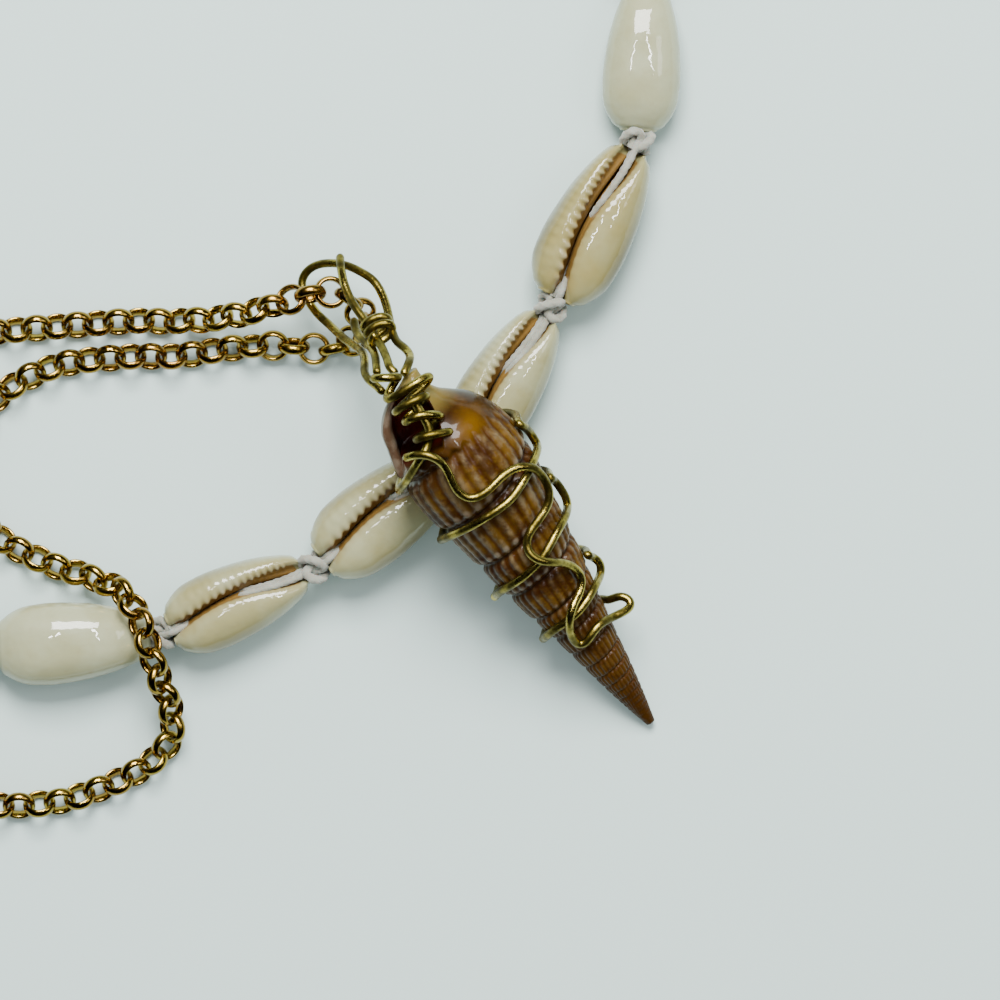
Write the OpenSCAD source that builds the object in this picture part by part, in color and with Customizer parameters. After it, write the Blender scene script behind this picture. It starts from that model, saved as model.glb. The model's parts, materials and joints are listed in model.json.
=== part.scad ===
// A cowrie necklace with a chain strand and a wire-wrapped spiral shell, both strands on one clasp.
// It lies loose on a flat surface at height zero. The origin is the middle of the neck opening.
// X runs to the right and Y runs up as the necklace is seen from above.

/* [Cowrie strand] */
// Length of a middling cowrie
cowrie_l = 20; // [19:0.5:21]
// Width of a middling cowrie
cowrie_w = 10.7; // [9:0.1:11.5]
// Height of a middling cowrie
cowrie_h = 8.5; // [8:0.1:9]
// Room that a knot takes between two cowries
knot_gap = 2.6; // [2.4:0.1:3.2]
// Diameter of the doubled cord
cord_d = 1.2; // [1:0.1:1.3]
// Diameter of a knot
knot_d = 3; // [2.4:0.1:3.4]
// Radius of the loop where it takes the plain way round
loop_r = 81.3; // [81:0.1:82]

/* [Chain strand] */
// Outer diameter of a chain link
link_d = 4.1; // [4.1:0.1:4.2]
// Width of a link's band along its axis
link_w = 0.75; // [0.7:0.05:0.8]
// Thickness of a link's band
link_t = 0.4; // [0.35:0.05:0.4]
// Distance between neighbouring links
link_pitch = 2.65; // [2.6:0.05:2.7]

/* [Spiral shell] */
// Length of the spiral shell from its point to the tip of its canal
spiral_l = 58; // [57:0.5:59]
// Tilt of the shell as it leans on the cowries
spiral_tilt = 20.5; // [20.5:0.5:22]
// Number of raised ribs round one whorl
rib_count = 12; // [8:1:20]

/* [Brass wire] */
// Diameter of the brass wire
wire_d = 1; // [0.8:0.1:1.1]

/* [Clasp] */
// Diameter of the clasp barrel
clasp_d = 4.5; // [4:0.5:6]
// Length of the clasp barrel
clasp_l = 12; // [10:1:14]

/* [Hidden] */
COWRIES = 21;
COWRIE_NODES = [for (i = [1:COWRIES]) str("cowrie_", i < 10 ? "0" : "", i)];

// Knots of the shown stretch, from the top right down to the lower left
shown_knots = [[81, 5.7], [79.7, -15.9], [68.5, -37.2], [57.1, -56.2], [38.1, -70.6], [18.4, -79.3]];
SHOWN = len(shown_knots) - 1;
// Cowries that lie with the back up, all others show the opening
back_up = [1, 6];
// Cowries between the shown stretch and the clasp
BEFORE_CLASP = 7;
// Angle that one cowrie and its knot take on the round stretch
step_a = 2 * asin((cowrie_l + knot_gap) / (2 * loop_r));
last_shown_a = atan2(shown_knots[SHOWN].y, shown_knots[SHOWN].x);
first_shown_a = atan2(shown_knots[0].y, shown_knots[0].x);

function knot_angle(i) = i - SHOWN <= BEFORE_CLASP
    ? last_shown_a - (i - SHOWN) * step_a
    : first_shown_a + (COWRIES + 1 - i) * step_a;
function on_loop(a, r) = [r * cos(a), r * sin(a)];
// Knot i is above cowrie i + 1. The clasp is between knot 12 and knot 13
function knot(i) = i <= SHOWN ? shown_knots[i] : on_loop(knot_angle(i), loop_r);
CLASP_KNOT = SHOWN + BEFORE_CLASP;

function unit(v) = v / norm(v);
function clamp(i, n) = max(0, min(n - 1, i));
function at(p, i) = p[clamp(i, len(p))];

// Smooth curve through a list of points
function bend(a, b, c, d, t) =
    0.5 * (2 * b + (c - a) * t + (2 * a - 5 * b + 4 * c - d) * t * t + (3 * b - a - 3 * c + d) * t * t * t);
function curve(p, steps) = [
    for (i = [0:len(p) - 2]) for (k = [0:steps - 1])
        bend(at(p, i - 1), p[i], p[i + 1], at(p, i + 2), k / steps),
    p[len(p) - 1]];

// Length of a curve up to each of its points, and the point at a given length
function lengths(p) = [
    for (i = 0, s = 0; i < len(p); s = s + (i + 1 < len(p) ? norm(p[i + 1] - p[i]) : 0), i = i + 1) s];
function tables(p, s) = [for (axis = [0:2]) [for (i = [0:len(p) - 1]) [s[i], p[i][axis]]]];
function along(tab, s) = [lookup(s, tab[0]), lookup(s, tab[1]), lookup(s, tab[2])];

// A solid through rings of points, each ring the same way round, with flat ends
module skin(rings) {
    n = len(rings[0]);
    m = len(rings);
    points = [for (ring = rings) for (p = ring) p];
    sides = [for (i = [0:m - 2]) for (k = [0:n - 1]) let (a = i * n + k, b = i * n + (k + 1) % n)
        each [[a, b, b + n], [a, b + n, a + n]]];
    low = [for (k = [n - 1:-1:0]) k];
    high = [for (k = [0:n - 1]) (m - 1) * n + k];
    polyhedron(points, concat(sides, [low, high]), convexity = 8);
}

// A round wire or cord along a path, r and v hold the radius and the direction at each point
function way(p, i) = unit(at(p, i + 1) - at(p, i - 1));
function upright(v) = unit(abs(v.z) > 0.9 ? cross(v, [1, 0, 0]) : cross(v, [0, 0, 1]));
function carried(n, v) = unit(n - v * (n * v));
function normals(v) = [
    for (i = 0, n = upright(v[0]); i < len(v); n = i + 1 < len(v) ? carried(n, v[i + 1]) : n, i = i + 1) n];
function ways(p) = [for (i = [0:len(p) - 1]) way(p, i)];
module tube(p, r, v, sides) {
    n = normals(v);
    skin([for (i = [0:len(p) - 1]) let (b = cross(v[i], n[i]))
        [for (k = [0:sides - 1]) let (a = -360 * k / sides) p[i] + r[i] * (cos(a) * n[i] + sin(a) * b)]]);
}
module wire(p) {
    tube(p, [for (q = p) wire_d / 2], ways(p), 6);
}

// Sections of a cowrie of middling size, narrow end first, the opening on top
// Each row holds place along the shell, half width, top, underside and half width of the slit
cowrie_sections = [
    [-10, 1.8, 6.2, 3.6, 0.85],
    [-9, 2.9, 7, 2.4, 0.85],
    [-7, 4, 7.8, 1.2, 0.7],
    [-4, 4.9, 8.3, 0.3, 0.6],
    [0, 5.35, 8.5, 0, 0.6],
    [4, 5.35, 8.4, 0.2, 0.65],
    [7, 4.7, 8, 1, 0.75],
    [9, 3.4, 7.1, 2.2, 0.85],
    [10, 2.1, 6.2, 3.5, 0.85]];
// Height at which the cord passes through a cowrie that shows its opening
cord_z = 5.3;
lip_drop = 0.35;

function cowrie_ring(row) = let (
        x = row[0], w = row[1], top = row[2], low = row[3], slit = row[4],
        h = top - low, wall = 0.6 + 0.13 * w, inner = w - wall)
    [for (p = [
        [slit, top - lip_drop], [0.45 * w, top], [0.86 * w, low + 0.8 * h], [w, low + 0.5 * h],
        [0.72 * w, low + 0.16 * h], [0, low], [-0.72 * w, low + 0.16 * h], [-w, low + 0.5 * h],
        [-0.86 * w, low + 0.8 * h], [-0.45 * w, top], [-slit, top - lip_drop],
        [-slit, top - lip_drop - wall], [-inner, low + 0.5 * h], [0, low + wall],
        [inner, low + 0.5 * h], [slit, top - lip_drop - wall]]) [x, p.x, p.y]];

function is_back_up(i) = len(search(i, back_up)) > 0;
function first_knot(i) = i <= CLASP_KNOT ? i - 1 : i;
// Size of cowrie i, so that it fills the room between its two knots
function cowrie_size(i) = (norm(knot(first_knot(i) + 1) - knot(first_knot(i))) - knot_gap) / cowrie_l;
function cord_height(i) = (is_back_up(i) ? cowrie_h - cord_z : cord_z) * cowrie_size(i);

module cowrie(i) {
    a = knot(first_knot(i));
    b = knot(first_knot(i) + 1);
    k = cowrie_size(i);
    mid = (a + b) / 2;
    turn = atan2(b.y - a.y, b.x - a.x);
    color(is_back_up(i) ? "ivory" : "antiquewhite")
        translate([mid.x, mid.y, is_back_up(i) ? cowrie_h * k : 0])
        rotate([is_back_up(i) ? 180 : 0, 0, turn])
        scale(k)
        skin([for (row = cowrie_sections) [for (p = cowrie_ring(row))
            [p.x * cowrie_l / 20, p.y * cowrie_w / 10.7, p.z * cowrie_h / 8.5]]]);
}

// Clasp: a plain barrel with a ring at each end, at the far side of the loop from the spiral shell
clasp_a = knot(CLASP_KNOT);
clasp_b = knot(CLASP_KNOT + 1);
clasp_mid = (clasp_a + clasp_b) / 2;
clasp_turn = atan2(clasp_b.y - clasp_a.y, clasp_b.x - clasp_a.x);
clasp_half = norm(clasp_b - clasp_a) / 2;
clasp_z = clasp_d / 2;
ring_r = 2.5;
ring_wire = 1.4;
ring_x = clasp_l / 2 + ring_r + 0.2;

module clasp() {
    color("goldenrod")
    translate([clasp_mid.x, clasp_mid.y, clasp_z])
    rotate([0, 0, clasp_turn])
    union() {
        rotate([0, 90, 0]) cylinder(d = clasp_d, h = clasp_l, center = true, $fn = 48);
        for (s = [-1, 1]) translate([s * ring_x, 0, 0])
            rotate_extrude($fn = 48) translate([ring_r, 0]) circle(d = ring_wire, $fn = 24);
    }
}

// A place given in the clasp's own directions, from its middle
function clasp_place(p) = let (c = cos(clasp_turn), s = sin(clasp_turn))
    [clasp_mid.x + c * p.x - s * p.y, clasp_mid.y + s * p.x + c * p.y, p.z];

// Cord: looped round a ring of the clasp at each end, knotted between the cowries it runs through
hook_r = ring_wire / 2 + cord_d / 2 + 0.15;
hook_x = ring_x + ring_r;
// The loop round a ring from the knot's side, s is the end of the clasp, -1 or 1
function cord_hook(s) = [
    clasp_place([s * (hook_x + 2), 0, clasp_z + hook_r]),
    for (a = [90:36:270]) clasp_place([s * (hook_x + hook_r * cos(a)), 0, clasp_z + hook_r * sin(a)]),
    clasp_place([s * (hook_x + 2.2), 0, clasp_z - 0.9]),
    clasp_place([s * (hook_x + 3.4), 0, clasp_z - 0.2])];
function backwards(p) = [for (i = [len(p) - 1:-1:0]) p[i]];

knot_half = 0.6;
knot_reach = 1.15;
function high(p, z) = [p.x, p.y, z];
function chord(i) = unit(knot(first_knot(i) + 1) - knot(first_knot(i)));
// Heights of the cord just before and just after the knot that ends cowrie i or starts the next
function knot_rings(j, before, after, d0, d1) = [
    [high(knot(j) - d0 * knot_reach, before), cord_d / 2],
    [high(knot(j) - d0 * knot_half, (2 * before + after) / 3), knot_d / 2],
    [high(knot(j) + d1 * knot_half, (before + 2 * after) / 3), knot_d / 2],
    [high(knot(j) + d1 * knot_reach, after), cord_d / 2]];
end_knot_z = 4.2;
clasp_way = unit(clasp_b - clasp_a);
function thin(p) = [for (q = p) [q, cord_d / 2]];
cord_rings = concat(
    thin(backwards(cord_hook(1))),
    knot_rings(CLASP_KNOT + 1, end_knot_z, cord_height(CLASP_KNOT + 1), clasp_way, chord(CLASP_KNOT + 1)),
    [for (i = [CLASP_KNOT + 2:COWRIES])
        each knot_rings(i, cord_height(i - 1), cord_height(i), chord(i - 1), chord(i))],
    knot_rings(0, cord_height(COWRIES), cord_height(1), chord(COWRIES), chord(1)),
    [for (i = [1:CLASP_KNOT - 1])
        each knot_rings(i, cord_height(i), cord_height(i + 1), chord(i), chord(i + 1))],
    knot_rings(CLASP_KNOT, cord_height(CLASP_KNOT), end_knot_z, chord(CLASP_KNOT), clasp_way),
    thin(cord_hook(-1)));

// Round the clasp's rings the cord's sections follow it, everywhere else they stand upright
function level(v) = unit([v.x, v.y, 0]);
function is_hook(i) = i < HOOK_POINTS || i >= len(cord_rings) - HOOK_POINTS;
HOOK_POINTS = len(cord_hook(1));

module cord() {
    path = [for (q = cord_rings) q[0]];
    color("whitesmoke") tube(path, [for (q = cord_rings) q[1]],
        [for (i = [0:len(path) - 1]) is_hook(i) ? way(path, i) : level(way(path, i))], 8);
}

// Chain: the middle of its run, from the inner side of one clasp ring to the outer side of the other
hang = 0.6;
floor_z = 1.9;
inner_run = concat(
    [clasp_place([ring_x, -ring_r - hang, clasp_z]), clasp_place([ring_x, -ring_r - 3.2, clasp_z])],
    [[-65.4, 33.2, 2.2], [-63.9, 30.8, 2.1], [-63.4, 27.5, floor_z], [-63.2, 20, floor_z],
     [-64, 10, floor_z], [-65, -5, floor_z], [-62, -20, floor_z], [-54, -33, floor_z],
     [-40, -41, floor_z], [-22, -42, floor_z], [-5, -40.5, floor_z], [13.6, -39, floor_z],
     [19, -39, 2.1], [24, -38.8, 3.4], [28.5, -38.2, 5.2], [32.5, -37.2, 7], [36, -36.1, 8.3]]);
// Half a turn inside the bail, in a plane that slants down towards the floor
turn_mid = [39.4, -39, 5.5];
turn_r = 4.9;
turn_slant = 42;
turn_run = [for (a = [0:30:180])
    turn_mid + turn_r * (sin(a) * [1, 0, 0] + cos(a) * [0, cos(turn_slant), sin(turn_slant)])];
outer_run = concat(
    [[35.5, -42.2, 2.2], [30, -42.2, 2], [25, -42.8, floor_z], [20, -43.5, floor_z],
     [13.6, -43.6, floor_z], [4, -45, floor_z], [-4, -50, floor_z], [-7.4, -58, floor_z],
     [-3.4, -66, floor_z], [3, -69.8, floor_z], [7, -71.2, 2.3], [10.6, -72.4, 3.9],
     [13.3, -73.7, 6.2], [15.3, -76.2, 8.2], [16.6, -79.3, 9], [17.5, -82.4, 8.7],
     [18.5, -85.4, 6.9], [19.5, -88.2, 4.6], [19.9, -90.9, 3], [19.1, -93.6, 2.1],
     [16.7, -96, floor_z], [12.6, -98.3, floor_z], [4, -101, floor_z], [-8, -100.5, floor_z],
     [-30, -93, floor_z], [-52, -79, floor_z], [-70, -62, floor_z], [-84, -40, floor_z],
     [-91, -15, floor_z], [-93.4, 3, floor_z], [-93.4, 12, floor_z], [-93, 17, floor_z],
     [-91.5, 20.3, floor_z], [-88.7, 22.1, 2]],
    [clasp_place([-ring_x, ring_r + 3.2, clasp_z]), clasp_place([-ring_x, ring_r + hang, clasp_z])]);
chain_curve = curve(concat(inner_run, turn_run, outer_run), 8);
chain_lengths = lengths(chain_curve);
chain_table = tables(chain_curve, chain_lengths);
chain_l = chain_lengths[len(chain_lengths) - 1];
LINKS = 2 * round(chain_l / link_pitch / 2) + 1;
true_pitch = chain_l / (LINKS - 1);
// The inner part ends halfway through the turn
inner_l = lengths(curve(concat(inner_run, turn_run), 8))[8 * (len(inner_run) + 3)];
INNER_LINKS = round(inner_l / true_pitch);

function link_at(i) = along(chain_table, i * true_pitch);
function link_way(i) =
    unit(along(chain_table, (i + 0.5) * true_pitch) - along(chain_table, (i - 0.5) * true_pitch));
// Neighbouring links stand a quarter turn apart, and lean over away from the clasp and the turn
function lean(i) = min(45, 9 * min(i, LINKS - 1 - i), 9 * max(0, abs(i - INNER_LINKS) - 2)) + (i % 2) * 90;

module link() {
    r = link_d / 2;
    rotate_extrude($fn = 24) polygon([
        [r - link_t, -0.42 * link_w], [r - 0.45 * link_t, -0.5 * link_w], [r, -0.22 * link_w],
        [r, 0.22 * link_w], [r - 0.45 * link_t, 0.5 * link_w], [r - link_t, 0.42 * link_w]]);
}

module placed_link(i) {
    v = link_way(i);
    side = unit(cross(v, [0, 0, 1]));
    up = cross(side, v);
    axis = side * cos(lean(i)) + up * sin(lean(i));
    third = cross(axis, v);
    p = link_at(i);
    multmatrix([
        [v.x, third.x, axis.x, p.x], [v.y, third.y, axis.y, p.y], [v.z, third.z, axis.z, p.z], [0, 0, 0, 1]])
        link();
}

module chain_inner() {
    color("gold") for (i = [0:INNER_LINKS - 1]) placed_link(i);
}

module chain_outer() {
    color("gold") for (i = [INNER_LINKS:LINKS - 1]) placed_link(i);
}

// Spiral shell: its own directions are along the axis from the point, across, and away from the floor
point_place = [81.4, -90.6];
point_z = 0.9;
axis_turn = 125.4;
spiral_way = [cos(axis_turn) * cos(spiral_tilt), sin(axis_turn) * cos(spiral_tilt), sin(spiral_tilt)];
spiral_side = [sin(axis_turn), -cos(axis_turn), 0];
spiral_up = cross(spiral_side, spiral_way);
function spiral_place(p) =
    [point_place.x, point_place.y, point_z] + p.x * spiral_way + p.y * spiral_side + p.z * spiral_up;

// Radius on the right hand side and on the side of the lip, at places along a shell 58 long
right_radius = [[0, 0.6], [3.5, 1.4], [8, 2.3], [13.5, 3.2], [18.5, 4.1], [23.5, 5.1], [29, 6],
    [34.5, 6.8], [39, 7.6], [43, 8], [46, 7.7], [49.3, 6.7], [51, 5.6], [52.5, 4], [54, 2.4], [56, 1.3],
    [58, 0.9]];
lip_radius = [[0, 0.6], [3.5, 1.4], [8, 2.3], [13.5, 3.2], [18.5, 4.1], [23.5, 5.1], [29, 6],
    [34.5, 6.8], [39, 7.6], [43, 8.1], [46, 8.2], [51, 7.4], [54, 6.6], [56, 4.6], [57.2, 2.2], [58, 0.9]];
// Sideways set of the canal from the axis
canal_set = [[0, 0], [49, 0], [55, 0.4], [58, 0.9]];
WHORL_RATIO = 1.22;
last_suture = 39.8;
body_start = 42;
groove = 0.09;
rib_rise = 0.14;
STATIONS = 56;

function whorl(a, turn) = ln(max(a, 1) / last_suture) / ln(WHORL_RATIO) + (turn + 270) / 360;
// Smooth step from 0 at the first value to 1 at the second
function ease(x, x0, x1) = let (t = max(0, min(1, (x - x0) / (x1 - x0)))) t * t * (3 - 2 * t);
function bump(x, x0, x1, edge) = ease(x, x0 - edge, x0) * (1 - ease(x, x1, x1 + edge));
function outer_radius(a, turn) = let (lip = pow((1 - cos(turn)) / 2, 2), s = a * 58 / spiral_l)
    lookup(s, right_radius) * (1 - lip) + lookup(s, lip_radius) * lip;
function hollow(a, turn) = bump(a, 49.5, 57, 1.4) * bump(turn, 80, 150, 14);
function relief(a, turn) = let (
        f = whorl(a, turn) - floor(whorl(a, turn)), shown = 1 - ease(a, body_start, body_start + 3))
    1 - shown * groove * pow(2 * f - 1, 4);
function shell_radius(a, turn, rib) = let (
        r = outer_radius(a, turn) * relief(a, turn) + rib * rib_rise * (1 - ease(a, 44, 48)))
    r - (r - 1.9) * hollow(a, turn);

module spiral_shell() {
    n = 2 * rib_count;
    color("peru") skin([for (i = [0:STATIONS]) let (a = spiral_l * i / STATIONS)
        [for (k = [0:n - 1]) let (turn = 360 * k / n, r = shell_radius(a, turn, k % 2))
            spiral_place([a, r * cos(turn) + lookup(a, canal_set), r * sin(turn)])]]);
}

// Places on the wires are given as seen from above: along the shell from its point, and across
wire_gap = 0.22;
crossing = wire_d + 0.15;
function seat_radius(a, turn) = outer_radius(a, turn) + rib_rise + wire_gap + wire_d / 2;
// Height of a wire over the axis where it lies on the shell's upper side
function over_height(a, w, lift) = let (turn = w > 0 ? 45 : 135, r = seat_radius(a, turn) + lift)
    sqrt(max(0.04, r * r - w * w));
function true_place(seen, h) = (seen + h * sin(spiral_tilt)) / cos(spiral_tilt);
function over(seen, w, lift) = let (
        h0 = over_height(seen / cos(spiral_tilt), w, lift),
        h1 = over_height(true_place(seen, h0), w, lift),
        h2 = over_height(true_place(seen, h1), w, lift))
    [true_place(seen, h2), w, h2];
// A place under the shell, turn runs from 180 at the left edge to 360 at the right edge
function under(a, turn) = let (r = seat_radius(a, turn)) [a, r * cos(turn), r * sin(turn)];
function seen_at(row) = [true_place(row[0], row[2]), row[1], row[2]];

// The wrapping wire, from the neck coil round the shell to its thin end and back along the front
// Rows of the core inside the coil hold the seen place along, the place across and the height
core_rows = [[51.9, -1, 3.8], [51, -0.9, 4.2], [49.2, -1, 4.7], [47.5, -1.2, 5.1],
    [46.3, -1.6, 5.4]];
tail_rows = [[45, -3.4], [44.5, -4.8], [43.9, -6.2], [43.3, -7.8], [43, -8.9]];
first_turn = [[41, 8.3], [39.9, 8.8], [38.5, 8.8], [37.2, 8.5], [35.8, 6.6], [34.8, 4.6], [33.9, 2.2],
    [33.7, 0], [33.8, -2.2], [34, -4.4], [34.4, -6.7], [34.8, -8.4]];
second_turn = [
    [33.1, 7.6], [32.3, 7.9], [31.2, 7.9], [29.6, 7.7], [28.2, 6.6], [26.8, 3.8], [25.5, 1], [24.9, -2],
    [24.9, -4.2], [25, -6], [24.8, -7.2]];
third_turn = [[22.3, 5.8], [21.3, 6.4], [20.2, 6.4], [19, 5.2], [17.4, 1.6], [17, -0.8], [17, -3.4],
    [16.8, -5.2]];
end_loop = [[15.6, 6.2, 0.4], [14.6, 6.9, 0.8], [13.7, 6.5, 1.4], [13.7, 5.2, 2.2]];
// Rows of the winding front run hold the seen place along, the place across and how far it is lifted
front_run = [[14, 3.6, 0], [14.2, 2, 0], [13.8, 0.4, 0], [13.3, -0.9, 0], [13.9, -1.9, 0],
    [15.6, -1.7, 0.6], [17, -0.8, 1], [18.2, 0.6, 0.6], [19, 2.1, 0], [20.1, 3.3, 0], [21.6, 3.6, 0],
    [23.2, 2.8, 0.2], [24.3, 1.5, 0.9], [25.4, 0.4, 1], [26.7, -0.1, 0.6], [28.1, 0.3, 0], [29, 1.4, 0],
    [29.6, 3.1, 0], [30.3, 4.9, 0.4], [31.2, 6.1, 0.9], [32.4, 6.7, 1], [33.8, 6.9, 1], [35.3, 6.6, 1],
    [36.3, 5.6, 0.7], [36.8, 4.2, 0.2], [36.8, 2.6, 0], [36.5, 0.8, 0], [36.4, -0.9, 0],
    [36.9, -2.2, 0], [38.2, -2.9, 0], [39.6, -2.9, 0], [41, -2.6, 0], [42.3, -2.5, 0.2],
    [43.7, -2.9, 0.9], [44.8, -3.8, 1], [45.5, -4.9, 1], [45.8, -6, 0.8]];
function over_rows(rows) = [for (row = curve(rows, 2)) over(row[0], row[1], 0)];
function seen_rows(rows) = [for (row = curve(rows, 2)) seen_at(row)];
// The hidden half turn behind, between a place along at the left edge and one at the right edge
function under_rows(left, right, n) =
    [for (k = [1:n - 1]) under(left + (right - left) * ease(k, 0, n), 180 + 180 * k / n)];
wrap_path = concat(
    seen_rows(core_rows), over_rows(tail_rows), under_rows(45.4, 44.6, 12),
    over_rows(first_turn), under_rows(36.8, 35.8, 11),
    over_rows(second_turn), under_rows(26.4, 24, 10),
    over_rows(third_turn), under_rows(17.8, 16.8, 8), seen_rows(end_loop),
    [for (row = curve(front_run, 2)) over(row[0], row[1], row[2] * crossing)]);

module wrap_wire() {
    color("darkgoldenrod") wire([for (p = wrap_path) spiral_place(p)]);
}

// The coil round the canal and the core of the wrapping wire, rows as for the core
coil_rows = [[56.4, -3.5, 1.4], [56, -2.8, 2.6], [55.3, -1.8, 3], [54.7, -0.7, 2.4], [54.6, -1.2, 1.2],
    [53.8, -2.8, 1.2], [53.2, -3.6, 2.2], [52.9, -2.4, 3.6], [52.8, -0.5, 4.2], [52.7, 1.4, 4],
    [52.5, 2.6, 3], [52.1, 2, 2.3], [51.8, 0, 2.8], [51.4, -2.4, 2.8], [51.2, -3.7, 3.4],
    [51.3, -2.6, 4.9], [51, -0.7, 5.4], [50.7, 0.8, 4.6], [50.4, 0, 3.2], [50, -2, 3.1],
    [49.5, -3.4, 4.2], [49.4, -2.4, 5.6], [48.9, -0.9, 6], [47.6, 0.8, 5.3], [47.3, 0, 3.9],
    [47, -2, 3.8], [46.9, -3.5, 5.1], [46.7, -2.7, 6.7],
    [46.1, -1.2, 7], [45.3, 0.5, 6.3], [45.2, 0.6, 5.6]];

module neck_coil() {
    color("darkgoldenrod") wire([for (p = seen_rows(coil_rows)) spiral_place(p)]);
}

// The bail: a large loop that slopes from the neck to the chain, a strand across it and a stay
bail_loop_path = [[50.6, -43.7, 19.6], [49.9, -42.7, 18.4], [48.9, -41.9, 17],
    [48.3, -40.6, 15.6], [47.9, -38.9, 13.6], [47.5, -37.2, 12.4], [46.9, -35.6, 11.4],
    [45.8, -33.9, 10.4], [44, -32.7, 9.2], [42.2, -31.9, 7.8], [40.4, -31.6, 6.4], [38.5, -31.8, 5.2],
    [37.1, -32.7, 4.5], [36.5, -34.1, 4.2], [37, -35.8, 4.4], [38.4, -37.9, 5.3], [40.2, -39.6, 6.8],
    [41.9, -41.2, 9.2], [43.3, -42.2, 11.4], [44.5, -43.2, 13.8], [44.8, -44.4, 16], [44.8, -45.8, 18],
    [45.4, -46.8, 19.6], [46.4, -47.6, 20.6], [47.2, -48.4, 21.4]];
bail_strand_path = [[41.5, -30.7, 7.9], [41.6, -32, 9.4], [42, -34, 11], [42.8, -36.1, 12.2],
    [43.8, -37.8, 13.6], [45, -39.4, 14.6], [46, -41, 16.2], [47, -42.6, 18], [47.7, -44.2, 19.8],
    [48, -45.2, 21], [48.9, -46, 21.4]];
bail_stay_path = [[43.3, -38.9, 10.2], [43.7, -40.6, 12], [44.9, -41.9, 14.4], [46, -43.2, 17],
    [46.3, -44.8, 19], [46.4, -46, 20.2]];

module bail_loop() {
    color("darkgoldenrod") wire(curve(bail_loop_path, 2));
}

module bail_strand() {
    color("darkgoldenrod") wire(curve(bail_strand_path, 2));
}

module bail_stay() {
    color("darkgoldenrod") wire(curve(bail_stay_path, 2));
}

for (i = [1:COWRIES]) cowrie(i);
cord();
chain_inner();
chain_outer();
clasp();
spiral_shell();
wrap_wire();
neck_coil();
bail_loop();
bail_strand();
bail_stay();
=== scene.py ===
# %% [markdown]
# Cowrie necklace with a chain and a wire-wrapped spiral shell
# -------------------------------------------------------------
# The real thing is a layered beach necklace. One strand is cowries on a knotted white cord, the
# other is a gold chain that carries a long spiral shell in a cage of bent brass wire.
# The solids already exist as a frame. This file loads them and dresses them: smooth shells,
# twisted cord, polished links, and then a floor, soft light and a camera.
# The necklace is measured in millimetres here, as a jeweller would do it, and its points are
# turned into Blender's metres where a mesh is made. The lamps and the camera are in metres.

# %% Load the frame
import json
import math

import bpy
import numpy as np
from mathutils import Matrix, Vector

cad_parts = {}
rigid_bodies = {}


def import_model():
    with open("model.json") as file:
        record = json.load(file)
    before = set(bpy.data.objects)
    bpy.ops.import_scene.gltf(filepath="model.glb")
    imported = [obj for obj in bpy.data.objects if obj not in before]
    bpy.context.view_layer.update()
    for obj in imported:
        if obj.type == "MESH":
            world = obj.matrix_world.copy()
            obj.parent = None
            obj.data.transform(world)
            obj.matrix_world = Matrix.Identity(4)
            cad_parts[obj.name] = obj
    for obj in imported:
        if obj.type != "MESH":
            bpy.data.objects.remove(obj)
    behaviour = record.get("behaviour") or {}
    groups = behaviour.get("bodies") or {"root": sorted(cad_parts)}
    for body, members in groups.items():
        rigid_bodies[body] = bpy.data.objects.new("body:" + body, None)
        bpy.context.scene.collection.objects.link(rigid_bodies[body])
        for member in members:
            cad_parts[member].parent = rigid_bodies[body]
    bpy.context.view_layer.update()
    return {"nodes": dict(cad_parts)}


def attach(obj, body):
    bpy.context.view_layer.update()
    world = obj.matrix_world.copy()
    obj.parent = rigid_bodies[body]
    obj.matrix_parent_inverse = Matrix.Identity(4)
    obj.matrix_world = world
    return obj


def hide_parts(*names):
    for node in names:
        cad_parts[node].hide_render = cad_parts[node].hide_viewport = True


for thing in list(bpy.data.objects):
    bpy.data.objects.remove(thing)
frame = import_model()

# %% [markdown]
# A skin over rings of points
# ---------------------------
# Almost everything here is long and bent: a shell, a cord, a wire. Each can be made by placing
# ring after ring of points along it and joining neighbouring rings with four-sided faces.
# Blender's own curves with a bevel can do this too, but not with teeth, ribs or lobes.
# One helper does it for all of them, so that it is written and understood only once.
# A second one stores a number at every point, which a finish can read later as a mask.

# %% The skin helper
MM = 0.001


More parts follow.
